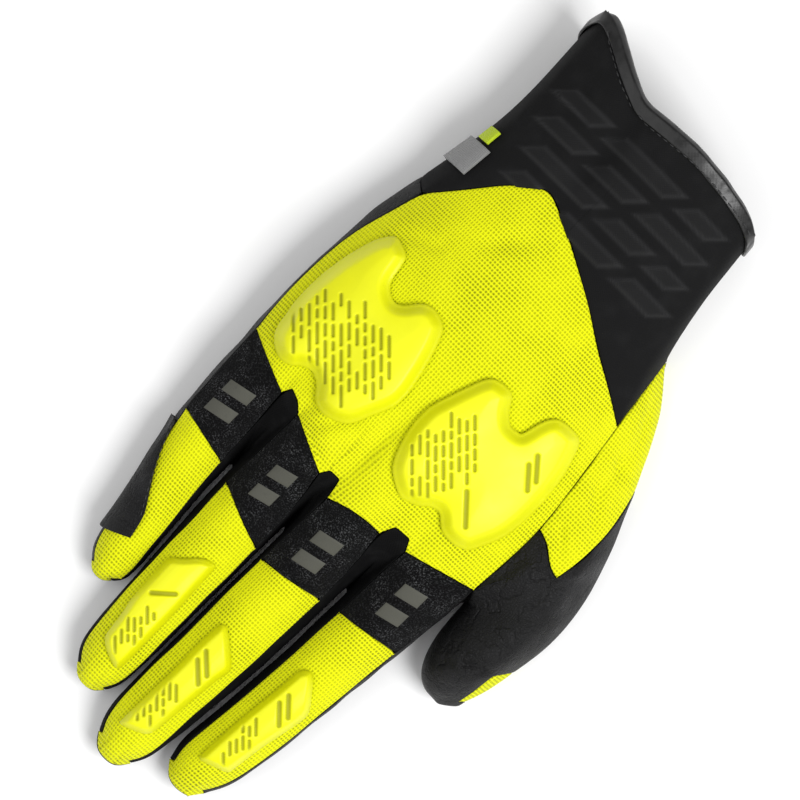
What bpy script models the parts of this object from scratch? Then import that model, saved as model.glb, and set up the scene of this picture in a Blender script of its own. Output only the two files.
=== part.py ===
"""Right-hand motorcycle glove lying palm down.

+X points to the little-finger side, +Y to the fingertips, +Z out of the back of the hand.
One skin of quads is worked out from the tables. Each panel is a set of its faces, thickened
inwards and drawn back from its seams. Guards, patch, badge and binding sit on that skin.
"""
import math

import bmesh
import bpy
from mathutils import Vector
from mathutils.bvhtree import BVHTree
from mathutils.geometry import delaunay_2d_cdt

# Named sizes in metres
HAND_WIDTH = 0.100      # across the knuckles
HAND_LENGTH = 0.100     # wrist seam to knuckle seam, along the back
HAND_DEPTH = 0.034      # palm to the back of the hand
SEAM_GAP = 0.0003       # left between two sewn panels
SEAT_GAP = 0.0003       # left under a piece that sits on a panel
LEATHER = 0.0014        # palm and thumb
KNIT = 0.0013           # yellow cloth and the bands
SIDE_CLOTH = 0.0012     # walls between the fingers
NEOPRENE = 0.0024       # cuff
PATCH = 0.0010          # sewn-on patch, badge and tab
BINDING_WIDTH = 0.0036  # how far the binding reaches over the cuff
BINDING_WALL = 0.0009
KNUCKLE_RIM = 0.0012    # knuckle guard at its edge
KNUCKLE_CROWN = 0.0038  # knuckle guard on its top
KNUCKLE_SLOPE = 0.0042
FINGER_RIM = 0.0009     # finger guard at its edge
FINGER_CROWN = 0.0024   # finger guard on its top
FINGER_SLOPE = 0.0022

TOP = 5     # quads across the back of a finger, and across its underside
SIDE = 3    # quads down the side of a finger
ROWS = 7    # quads along the back of the hand
CUFF_ROWS = 5

# Colours, roughness
YELLOW_KNIT = ((0.72, 0.80, 0.01), 0.85)
YELLOW_MOULD = ((0.80, 0.86, 0.02), 0.45)
BLACK_BAND = ((0.012, 0.012, 0.012), 0.95)
BLACK_CLOTH = ((0.010, 0.010, 0.010), 0.9)
BLACK_LEATHER = ((0.014, 0.014, 0.015), 0.55)
BLACK_NEOPRENE = ((0.018, 0.018, 0.019), 0.85)
BLACK_BINDING = ((0.02, 0.02, 0.02), 0.35)
GRAY_BADGE = ((0.32, 0.32, 0.32), 0.6)
GREEN_TAB = ((0.38, 0.58, 0.02), 0.6)


def px(value):
    """Per cent of the hand width."""
    return HAND_WIDTH * value / 100.0


def py(value):
    """Per cent of the hand length."""
    return HAND_LENGTH * value / 100.0


def pz(value):
    """Per cent of the hand depth."""
    return HAND_DEPTH * value / 100.0


def table(columns, rows):
    return [dict(zip(columns, row)) for row in rows]


# Rings of each finger, root to tip. Seams and walls are per cent of the hand width, back and
# base are per cent of the hand length, top and lift are per cent of the hand depth.
# back is where the ring crosses the back of the finger, base where it crosses the underside.
RING = ("back_left", "back_right", "bow", "base_left", "base_right",
        "wall_left", "seam_left", "seam_right", "wall_right", "top", "lift", "shoulder")
FINGERS = {
    "index": table(RING, (
        (24.0, 30.0, 0.0, 34.0, 50.0, -54.5, -54.0, -32.0, -28.0, 93, 0, 0.86),
        (33.5, 38.5, 0.0, 42.0, 53.0, -54.0, -53.3, -31.3, -28.5, 83, 1, 0.80),
        (43.0, 47.5, 0.0, 50.0, 57.0, -53.3, -52.4, -31.0, -28.3, 74, 2, 0.76),
        (53.0, 56.0, 0.0, 59.0, 61.0, -52.3, -51.2, -31.0, -28.2, 68, 4, 0.73),
        (64.0, 66.0, 0.0, 68.0, 68.5, -51.1, -50.0, -30.4, -28.1, 65, 6, 0.72),
        (76.0, 77.0, 0.0, 77.5, 77.5, -50.0, -49.0, -29.9, -27.7, 64, 7, 0.72),
        (87.0, 88.0, 0.0, 88.0, 88.0, -48.9, -47.9, -29.3, -27.1, 62, 6, 0.72),
        (98.0, 99.0, 0.0, 99.0, 99.0, -47.8, -46.8, -28.3, -26.3, 60, 4, 0.72),
        (109.0, 109.0, 0.5, 109.0, 109.0, -46.3, -45.3, -27.1, -25.3, 56, 1, 0.72),
        (116.8, 116.3, 1.2, 117.0, 117.0, -44.2, -43.0, -26.6, -24.7, 48, 3, 0.70),
        (121.6, 121.3, 2.2, 122.5, 122.5, -41.0, -39.8, -28.0, -26.4, 38, 10, 0.66))),
    "middle": table(RING, (
        (31.5, 35.0, -1.1, 50.0, 50.0, -28.0, -23.0, -5.0, -2.3, 95, 0, 0.88),
        (40.0, 43.5, -0.5, 54.0, 54.0, -27.9, -24.2, -4.6, -2.8, 85, 1, 0.81),
        (49.0, 52.0, 0.0, 59.0, 59.0, -27.8, -24.7, -4.2, -2.8, 76, 2, 0.76),
        (57.5, 61.0, 0.2, 65.0, 65.0, -27.7, -24.8, -4.0, -2.7, 70, 4, 0.73),
        (70.0, 72.0, 0.0, 75.0, 75.0, -27.5, -24.6, -3.9, -2.6, 67, 6, 0.72),
        (83.0, 84.0, 0.0, 85.0, 85.0, -26.9, -24.0, -3.9, -2.6, 65, 7, 0.72),
        (96.0, 96.5, 0.0, 97.0, 97.0, -25.9, -23.3, -3.8, -2.6, 63, 6, 0.72),
        (108.0, 108.0, 0.0, 108.0, 108.0, -24.8, -22.7, -3.7, -2.5, 61, 4, 0.72),
        (119.0, 118.5, 0.4, 119.0, 119.0, -23.5, -22.2, -3.8, -2.6, 57, 1, 0.72),
        (126.3, 126.0, 1.2, 126.5, 126.5, -22.4, -21.2, -4.6, -3.4, 49, 3, 0.70),
        (130.6, 130.3, 2.2, 131.5, 131.5, -19.6, -18.4, -7.2, -6.0, 39, 10, 0.66))),
    "ring": table(RING, (
        (31.5, 24.0, 0.0, 50.0, 48.0, -2.3, 1.5, 18.0, 21.4, 91, 0, 0.88),
        (41.0, 33.5, 0.0, 54.0, 52.0, -2.3, -0.2, 18.4, 21.1, 80, 1, 0.81),
        (50.5, 43.0, 0.0, 58.0, 56.0, -2.2, -0.9, 18.7, 21.0, 71, 2, 0.76),
        (60.0, 52.5, 0.3, 63.0, 61.0, -2.2, -1.0, 19.0, 20.9, 65, 4, 0.73),
        (70.0, 64.5, 0.0, 70.0, 69.5, -2.1, -1.0, 18.5, 20.4, 62, 6, 0.72),
        (81.0, 77.0, 0.0, 80.0, 79.0, -2.1, -1.0, 18.2, 19.5, 61, 7, 0.72),
        (92.0, 89.0, 0.0, 91.0, 90.5, -2.1, -1.1, 17.8, 18.7, 59, 6, 0.72),
        (102.0, 100.5, 0.0, 102.0, 102.0, -2.0, -1.2, 17.2, 18.0, 57, 4, 0.72),
        (111.0, 110.5, 0.3, 111.0, 111.0, -2.0, -1.2, 16.4, 17.3, 54, 1, 0.72),
        (117.0, 116.3, 1.0, 117.5, 117.5, -1.4, -0.6, 15.0, 16.0, 46, 3, 0.70),
        (120.9, 120.3, 1.8, 121.6, 121.6, 0.9, 1.9, 11.6, 12.8, 37, 10, 0.66))),
    "pinky": table(RING, (
        (22.8, 15.0, 0.0, 48.0, 36.0, 21.4, 25.8, 44.2, 45.4, 82, 0, 0.78),
        (32.0, 25.0, 0.0, 51.0, 42.0, 21.7, 24.8, 43.9, 45.0, 73, 1, 0.76),
        (41.0, 35.0, 0.0, 54.0, 48.0, 21.7, 24.4, 43.4, 44.4, 64, 2, 0.74),
        (49.5, 45.5, 0.0, 57.0, 54.0, 21.6, 24.0, 42.6, 43.4, 59, 4, 0.72),
        (58.0, 55.0, 0.0, 62.0, 61.0, 21.4, 23.6, 40.8, 41.5, 56, 6, 0.72),
        (67.0, 65.0, 0.0, 68.0, 68.0, 20.9, 22.4, 38.8, 39.5, 55, 7, 0.72),
        (76.0, 75.0, 0.0, 76.0, 76.0, 20.2, 21.4, 36.9, 37.6, 53, 6, 0.72),
        (84.0, 83.5, 0.0, 84.0, 84.0, 19.6, 20.7, 35.4, 36.1, 51, 4, 0.72),
        (90.5, 90.0, 0.3, 91.0, 91.0, 19.1, 20.1, 34.2, 35.2, 47, 1, 0.72),
        (94.6, 94.2, 0.8, 95.0, 95.0, 19.6, 20.6, 32.4, 33.4, 41, 3, 0.70),
        (96.9, 96.7, 1.2, 97.5, 97.5, 22.2, 23.2, 29.8, 30.8, 34, 10, 0.66)))}
FINGER_ORDER = ("index", "middle", "ring", "pinky")
LAST = len(FINGERS["index"]) - 1
BAND_END = 3
BASE_INSET = 3.6    # underside corner from the wall, per cent of the hand width
TIP_DEPTH = {"index": 3.4, "middle": 3.0, "ring": 2.2, "pinky": 1.5}

# Valley between two fingers, from the knuckles down to the palm, and the rounded end of the
# side wall on the back of the hand.
WEB = ("x", "y", "z")
WEBS = (
    table(WEB, ((-28.0, 37.0, 62), (-28.0, 45.0, 30), (-28.0, 50.0, 2))),
    table(WEB, ((-2.3, 38.0, 62), (-2.3, 45.5, 30), (-2.3, 50.0, 2))),
    table(WEB, ((21.4, 32.0, 60), (21.4, 42.0, 28), (21.4, 48.0, 2))))
TUFTS = (
    table(WEB, ((-30.2, 26.4, 87), (-25.0, 26.9, 88))),
    table(WEB, ((-3.9, 28.6, 88), (-0.3, 28.6, 88))),
    table(WEB, ((20.6, 21.2, 83), (24.4, 19.8, 80))))
CROTCH = table(WEB, ((-54.5, 26.5, 48), (-54.4, 30.0, 22)))
PINKY_SIDE = table(WEB, ((45.4, 21.0, 33), (45.0, 29.0, 14)))

# Back of the hand, row by row from the wrist to the knuckles
HAND = ("along", "left_x", "left_z", "right_x", "right_z", "wall_x", "ridge", "valley")
HAND_ROWS = table(HAND, (
    (0.000, -50.0, 70, 38.0, 66, 42.0, 97, 0.00),
    (0.150, -51.5, 74, 40.4, 62, 44.8, 100, 0.00),
    (0.300, -53.0, 76, 43.3, 58, 45.6, 103, 0.00),
    (0.450, -54.2, 77, 45.0, 56, 46.0, 105, 0.00),
    (0.595, -55.0, 77, 45.5, 55, 46.4, 105, 0.20),
    (0.730, -55.0, 77, 45.6, 54, 46.4, 104, 0.45),
    (0.865, -54.6, 76, 45.2, 53, 46.0, 101, 0.75),
    (1.000, -54.0, 74, 44.2, 52, 45.4, 95, 1.00)))
VALLEY_DEPTH = 9.0
LEFT_Y = (-39.0, -30.0, -20.5, -11.0, -2.0, 7.0, 16.0, 24.0)
WRIST_BASE_Y = -55.0
BASE_LEFT_X = (-44.0, -46.0, -47.5, -49.0, -50.0, -50.5, -50.8, -51.0)
BASE_RIGHT_X = (37.0, 39.5, 41.0, 41.8, 42.2, 42.3, 42.2, 42.0)

# Wrist seam across the back, thumb side to little-finger side
POINT = ("x", "y")
WRIST_SEAM = table(POINT, (
    (-50.0, -39.0), (-40.0, -45.0), (-30.0, -50.5), (-20.0, -57.0), (-10.0, -62.5), (0.0, -68.0),
    (7.0, -71.0), (11.0, -72.8), (16.0, -71.5), (20.0, -68.0), (25.0, -62.0), (30.0, -56.0),
    (35.0, -50.0), (38.0, -47.0)))
WRIST_THUMB = table(WEB, ((-48.6, -54.0, 50), (-47.4, -63.0, 22)))
WRIST_PINKY = table(WEB, ((41.8, -49.5, 42), (41.4, -52.5, 18)))
CUFF_EDGE = table(POINT, (
    (-37.8, -105.6), (-34.5, -107.6), (-30.0, -108.6), (-20.0, -110.0), (-10.0, -110.6),
    (0.0, -110.0), (9.0, -109.2), (12.0, -109.8), (20.0, -113.2), (25.0, -116.3), (30.0, -119.2),
    (33.0, -120.8), (36.4, -121.4)))
EDGE_THUMB = table(WEB, ((-40.2, -103.5, 54), (-39.8, -104.0, 24)))
EDGE_PINKY = table(WEB, ((38.2, -117.0, 52), (37.8, -115.5, 22)))
CUFF_HEIGHT = {"ridge": 116.0, "left": 84.0, "right": 80.0, "base": 4.5}
CUFF_BASE = {"left_x": -37.0, "right_x": 34.5, "left_y": -106.0, "right_y": -113.0}
CUFF_WAIST = {"left": 1.4, "right": 3.4}
CREASE = {"x": 10.0, "reach": 12.0, "depth": 5.0}

# Thumb. Ring 3 follows the border of the gusset, rings 4 to 10 run across the thumb.
GUSSET_RING = table(WEB, (
    (-55.9, 27.0, 60), (-60.0, 20.5, 74), (-64.4, 12.8, 80), (-68.3, 4.5, 80),
    (-70.0, -4.5, 78), (-70.2, -13.0, 73), (-69.3, -21.5, 66), (-67.6, -28.0, 56),
    (-66.6, -31.2, 40), (-65.6, -30.6, 16), (-62.5, -27.0, 0), (-62.5, -19.5, 0),
    (-62.2, -12.0, 0), (-61.6, -4.0, 0), (-60.6, 4.0, 0), (-59.4, 12.0, 0), (-58.4, 20.0, 0),
    (-57.6, 26.0, 0), (-55.3, 28.5, 14), (-55.1, 28.3, 36)))
GUSSET_END = 3
GUSSET_CORNER = 3
THUMB = ("inner_x", "inner_y", "outer_x", "outer_y", "bow", "top", "lift")
THUMB_RINGS = table(THUMB, (
    (-55.2, 32.0, -74.4, -15.5, 7.0, 80, 0),
    (-55.5, 37.0, -79.2, -3.0, 5.0, 80, 0),
    (-56.2, 42.5, -81.8, 10.0, 3.5, 78, 0),
    (-57.8, 48.2, -82.1, 22.0, 2.0, 75, 1),
    (-60.2, 52.6, -80.1, 33.0, 1.0, 67, 2),
    (-64.2, 55.2, -78.5, 42.5, 0.5, 54, 5),
    (-68.6, 54.9, -76.0, 49.0, 0.0, 40, 12)))
GUSSET_BULGE = 2.6
THUMB_TIP = {"depth_x": -1.0, "depth_y": 1.4}
TIP_PANEL_START = 8

KNUCKLE_INDEX = table(POINT, (
    (-46.0, 14.0), (-44.0, 17.0), (-40.0, 18.5), (-35.0, 18.0), (-31.0, 15.0), (-28.0, 15.5),
    (-25.0, 18.0), (-20.0, 19.5), (-16.0, 18.0), (-12.0, 15.0), (-9.5, 10.0), (-8.0, 5.0),
    (-7.3, 0.0), (-7.5, -5.0), (-9.0, -10.0), (-11.0, -16.0), (-13.0, -21.0), (-15.0, -23.3),
    (-19.0, -24.3), (-22.0, -23.5), (-24.0, -20.5), (-26.0, -18.3), (-28.0, -17.2),
    (-31.0, -17.5), (-32.0, -19.0), (-33.0, -23.0), (-34.5, -26.5), (-37.0, -28.5),
    (-42.0, -29.0), (-45.0, -28.0), (-47.0, -24.0), (-49.0, -17.0), (-50.0, -8.0),
    (-50.0, 0.0), (-49.0, 7.0)))
KNUCKLE_PINKY = table(POINT, (
    (3.0, 10.0), (5.0, 14.5), (8.0, 17.0), (12.0, 18.3), (16.0, 18.0), (18.0, 16.5), (20.0, 14.0),
    (23.0, 12.3), (25.0, 12.3), (27.5, 13.5), (29.0, 15.0), (32.0, 16.0), (35.0, 15.5),
    (38.0, 13.5), (40.0, 10.5), (41.0, 5.0), (41.8, 0.0), (41.8, -8.0), (41.0, -15.0),
    (40.0, -20.0), (38.0, -27.0), (36.0, -30.5), (34.0, -32.5), (31.0, -32.0), (28.0, -30.5),
    (27.0, -28.0), (26.0, -23.0), (24.5, -20.5), (22.0, -19.0), (20.0, -19.0), (18.0, -20.5),
    (15.0, -24.0), (12.0, -25.3), (9.0, -25.0), (6.0, -23.5), (4.0, -20.0), (2.0, -14.0),
    (0.5, -8.0), (-0.5, -2.0), (0.0, 3.0)))
GUARD_INDEX = table(POINT, (
    (-33.0, 115.0), (-37.0, 113.6), (-41.0, 112.0), (-41.7, 110.0), (-43.0, 100.0), (-45.0, 90.0),
    (-45.8, 85.0), (-45.0, 82.0), (-42.0, 78.0), (-39.0, 74.7), (-37.0, 74.0), (-35.0, 76.0),
    (-34.5, 80.0), (-33.5, 90.0), (-32.5, 100.0), (-32.0, 110.0), (-32.0, 113.5)))
GUARD_MIDDLE = table(POINT, (
    (-9.0, 124.0), (-13.0, 122.6), (-17.0, 120.0), (-18.0, 115.0), (-19.0, 105.0), (-20.0, 95.0),
    (-20.5, 90.0), (-16.5, 86.0), (-12.0, 82.5), (-10.0, 82.0), (-9.0, 84.0), (-8.6, 92.0),
    (-8.8, 100.0), (-8.5, 115.0), (-8.5, 121.5)))
GUARD_RING = table(POINT, (
    (2.5, 112.5), (4.0, 113.4), (9.0, 111.5), (12.0, 109.0), (12.8, 104.5), (13.5, 100.0),
    (14.5, 95.0), (15.0, 85.0), (15.0, 80.0), (12.0, 77.0), (8.0, 73.0), (5.0, 71.8), (3.5, 72.5),
    (3.0, 80.0), (2.5, 90.0), (2.3, 100.0), (2.2, 108.0)))

# Left edge of the patch on the little finger: distance along the finger and share across its back
LEAF = table(("y", "across", "end_y"), (
    (51.0, 4.90, 50.0), (57.0, 4.75, 55.0), (62.0, 4.35, 60.5), (66.5, 3.75, 65.5),
    (71.0, 3.10, 70.5), (75.5, 2.40, 75.5), (79.7, 2.30, 80.5), (83.6, 2.20, 87.5)))


# Places on a triangle where a piece above the skin is tested
SAMPLES = ((0.5, 0.5, 0.0), (0.0, 0.5, 0.5), (0.5, 0.0, 0.5), (0.34, 0.33, 0.33),
           (0.75, 0.25, 0.0), (0.25, 0.75, 0.0), (0.0, 0.75, 0.25), (0.0, 0.25, 0.75),
           (0.75, 0.0, 0.25), (0.25, 0.0, 0.75))


def mix(a, b, t):
    return a + (b - a) * t


def polyline_y(points, x):
    """Height of a plan polyline at x, both in per cent."""
    for first, second in zip(points, points[1:]):
        if x <= second["x"]:
            t = (x - first["x"]) / (second["x"] - first["x"])
            return mix(first["y"], second["y"], t)
    return points[-1]["y"]


def place(x, y, z):
    return Vector((px(x), py(y), pz(z)))


class Skin:
    """Shared quads of the whole glove. Every face carries the name of its panel."""

    def __init__(self):
        self.points = []
        self.names = {}
        self.faces = []
        self.labels = []

    def add(self, key, point):
        if key not in self.names:
            self.names[key] = len(self.points)
            self.points.append(point.copy())
        return self.names[key]

    def same(self, key, other):
        self.names[key] = self.names[other]

    def at(self, key):
        return self.points[self.names[key]]

    def face(self, label, *keys):
        corners = []
        for key in keys:
            number = self.names[key]
            if number not in corners:
                corners.append(number)
        if len(corners) > 2:
            self.faces.append(tuple(corners))
            self.labels.append(label)


def finger_ring(row, left_inset, right_inset):
    """Points of one ring: back left to right, right wall down, underside back, left wall up."""
    back = []
    walls = row["lift"] + (row["top"] - row["lift"]) * row["shoulder"]
    for k in range(TOP + 1):
        t = k / TOP
        arch = 1.0 - abs(2.0 * t - 1.0) ** 2.3
        along = mix(row["back_left"], row["back_right"], t) + row["bow"] * 4.0 * t * (1.0 - t)
        back.append((mix(row["seam_left"], row["seam_right"], t), along,
                     mix(walls, row["top"], arch)))
    sides = {}
    for side, sign, seam in (("right", -1.0, back[-1]), ("left", 1.0, back[0])):
        base = row["base_" + side]
        wall = row["wall_" + side]
        sides[side] = [
            (wall, mix(seam[1], base, 0.45), mix(row["lift"], walls, 0.56)),
            (wall + sign * 0.5, mix(seam[1], base, 0.85), mix(row["lift"], walls, 0.22))]
    left = row["wall_left"] + left_inset
    right = row["wall_right"] - right_inset
    base = []
    for k in range(TOP + 1):
        t = k / TOP
        base.append((mix(right, left, t), mix(row["base_right"], row["base_left"], t),
                     row["lift"]))
    return back + sides["right"] + base + sides["left"][::-1]


RING_COUNT = 2 * (TOP + 1) + 2 * (SIDE - 1)
BASE_START = TOP + SIDE


def build_hand(skin):
    """Rows of the hand. Back points are ("T", row, column), underside ("B", row, column)."""
    across = []
    for name in FINGER_ORDER:
        ring = FINGERS[name][0]
        for k in range(TOP + 1):
            x = mix(ring["seam_left"], ring["seam_right"], k / TOP)
            y = mix(ring["back_left"], ring["back_right"], k / TOP)
            y += ring["bow"] * 4.0 * (k / TOP) * (1.0 - k / TOP)
            across.append((x, y, k / TOP, name))
    first_x = across[0][0]
    last_x = across[-1][0]
    for r, row in enumerate(HAND_ROWS):
        for c, (x_end, y_end, t, name) in enumerate(across):
            u = (x_end - first_x) / (last_x - first_x)
            x = mix(row["left_x"], row["right_x"], u)
            x_wrist = mix(HAND_ROWS[0]["left_x"], HAND_ROWS[0]["right_x"], u)
            y_wrist = polyline_y(WRIST_SEAM, x_wrist)
            y = mix(y_wrist, y_end, row["along"])
            if c == 0:
                y = LEFT_Y[r]
            lean = mix(row["left_z"], row["right_z"], u)
            arch = (1.0 - abs(2.0 * u - 1.0) ** 2.4) ** 0.9
            z = mix(lean, row["ridge"] + (lean - 66.0) * 0.15, arch)
            dip = abs(2.0 * t - 1.0) ** 2.2
            outer = (name == "index" and t < 0.5) or (name == "pinky" and t > 0.5)
            if not outer:
                z -= row["valley"] * VALLEY_DEPTH * dip
            skin.add(("T", r, c), place(x, y, z))
    count = len(across)
    base_ends = []
    for name in FINGER_ORDER[::-1]:
        ring = FINGERS[name][0]
        left = ring["wall_left"] if name != "index" else BASE_LEFT_X[-1]
        right = ring["wall_right"] if name != "pinky" else BASE_RIGHT_X[-1]
        for k in range(TOP + 1):
            if k == 0 and base_ends:
                continue
            t = k / TOP
            base_ends.append((mix(right, left, t),
                              mix(ring["base_right"], ring["base_left"], t)))
    right_end = base_ends[0][0]
    left_end = base_ends[-1][0]
    for r, row in enumerate(HAND_ROWS):
        for c, (x_end, y_end) in enumerate(base_ends):
            u = (x_end - right_end) / (left_end - right_end)
            x = mix(BASE_RIGHT_X[r], BASE_LEFT_X[r], u)
            y = mix(WRIST_BASE_Y, y_end, row["along"])
            skin.add(("B", r, c), place(x, y, 0.0))
    for r, row in enumerate(HAND_ROWS):
        upper = mix(WRIST_PINKY[0]["y"], PINKY_SIDE[0]["y"], row["along"])
        lower = mix(WRIST_PINKY[1]["y"], PINKY_SIDE[1]["y"], row["along"])
        upper_z = mix(WRIST_PINKY[0]["z"], PINKY_SIDE[0]["z"], row["along"])
        lower_z = mix(WRIST_PINKY[1]["z"], PINKY_SIDE[1]["z"], row["along"])
        skin.add(("R", r, 1), place(row["wall_x"], upper, upper_z))
        skin.add(("R", r, 2), place(row["wall_x"] - 0.5, lower, lower_z))
        skin.same(("R", r, 0), ("T", r, count - 1))
        skin.same(("R", r, 3), ("B", r, 0))
    for number, web in enumerate(WEBS):
        for k, point in enumerate(web[:2]):
            skin.add(("W", number, k), place(point["x"], point["y"], point["z"]))
        for k, point in enumerate(TUFTS[number]):
            skin.add(("U", number, k), place(point["x"], point["y"], point["z"]))
    for k, point in enumerate(CROTCH):
        skin.add(("C", k), place(point["x"], point["y"], point["z"]))
    for k, point in enumerate(WRIST_THUMB):
        skin.add(("L", k), place(point["x"], point["y"], point["z"]))
    for r in range(ROWS):
        for c in range(count - 1):
            between = (c % (TOP + 1)) == TOP
            if between and r == ROWS - 1:
                number = c // (TOP + 1)
                skin.face("back_panel", ("T", r, c), ("U", number, 0), ("T", r + 1, c))
                skin.face("back_panel", ("T", r, c), ("T", r, c + 1), ("U", number, 1),
                          ("U", number, 0))
                skin.face("back_panel", ("T", r, c + 1), ("T", r + 1, c + 1), ("U", number, 1))
                continue
            skin.face("back_panel", ("T", r, c), ("T", r, c + 1), ("T", r + 1, c + 1),
                      ("T", r + 1, c))
        for c in range(len(base_ends) - 1):
            skin.face("palm", ("B", r, c), ("B", r, c + 1), ("B", r + 1, c + 1), ("B", r + 1, c))
        for k in range(SIDE):
            skin.face("palm", ("R", r, k), ("R", r, k + 1), ("R", r + 1, k + 1), ("R", r + 1, k))
    return count, len(base_ends)


def build_fingers(skin):
    for number, name in enumerate(FINGER_ORDER):
        rows = FINGERS[name]
        base_first = (len(FINGER_ORDER) - 1 - number) * TOP
        for k in range(TOP + 1):
            skin.same((name, 0, k), ("T", ROWS, number * (TOP + 1) + k))
            skin.same((name, 0, BASE_START + k), ("B", ROWS, base_first + k))
        for k in range(SIDE - 1):
            right = ("W", number, k) if number < 3 else ("R", ROWS, k + 1)
            left = ("W", number - 1, k) if number > 0 else ("C", k)
            skin.same((name, 0, TOP + 1 + k), right)
            skin.same((name, 0, RING_COUNT - 1 - k), left)
        for j in range(1, LAST + 1):
            near_web = BASE_INSET * min(1.0, j / 2.0)
            left_inset = near_web if number > 0 else BASE_INSET
            right_inset = near_web if number < 3 else BASE_INSET
            for k, point in enumerate(finger_ring(rows[j], left_inset, right_inset)):
                skin.add((name, j, k), place(*point))
        inner_right = "fourchette_" + "_".join(FINGER_ORDER[number:number + 2])
        inner_left = "fourchette_" + "_".join(FINGER_ORDER[max(number - 1, 0):number + 1])
        for j in range(LAST):
            for k in range(RING_COUNT):
                if k < TOP:
                    label = "band_" + name if j < BAND_END else "back_" + name
                elif k < BASE_START:
                    label = inner_right if number < 3 else "palm"
                elif k < BASE_START + TOP:
                    label = "palm"
                else:
                    label = inner_left if number > 0 else "palm"
                after = (k + 1) % RING_COUNT
                skin.face(label, (name, j, k), (name, j, after), (name, j + 1, after),
                          (name, j + 1, k))
        cap(skin, ("back_" + name, "palm", "palm"), name, LAST, TOP, RING_COUNT,
            Vector((0.0, py(TIP_DEPTH[name]), 0.0)))
    for number in range(3):
        label = "fourchette_" + "_".join(FINGER_ORDER[number:number + 2])
        left = (FINGER_ORDER[number], 0, TOP)
        right = (FINGER_ORDER[number + 1], 0, 0)
        web = ("W", number, 0)
        skin.face(label, left, ("U", number, 0), web)
        skin.face(label, ("U", number, 0), ("U", number, 1), web)
        skin.face(label, ("U", number, 1), right, web)


def cap(skin, labels, name, ring, width, count, push):
    """Closes a tube with a small grid of quads, one label for each row down."""
    base_start = width + SIDE
    grid = {}
    for i in range(width + 1):
        grid[i, 0] = (name, ring, i)
        grid[i, SIDE] = (name, ring, base_start + width - i)
    for j in range(1, SIDE):
        grid[0, j] = (name, ring, count - j)
        grid[width, j] = (name, ring, width + j)
    for i in range(1, width):
        for j in range(1, SIDE):
            u = i / width
            v = j / SIDE
            across = mix(skin.at(grid[0, j]), skin.at(grid[width, j]), u)
            down = mix(skin.at(grid[i, 0]), skin.at(grid[i, SIDE]), v)
            corner = mix(mix(skin.at(grid[0, 0]), skin.at(grid[width, 0]), u),
                         mix(skin.at(grid[0, SIDE]), skin.at(grid[width, SIDE]), u), v)
            rise = 0.72 + 0.28 * (4.0 * u * (1.0 - u))
            key = (name, "cap", i, j)
            skin.add(key, across + down - corner + push * rise)
            grid[i, j] = key
    for i in range(width):
        for j in range(SIDE):
            skin.face(labels[j], grid[i, j], grid[i + 1, j], grid[i + 1, j + 1],
                      grid[i, j + 1])


THUMB_TOP = ROWS
THUMB_COUNT = 2 * (THUMB_TOP + 1) + 2 * (SIDE - 1)


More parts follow.
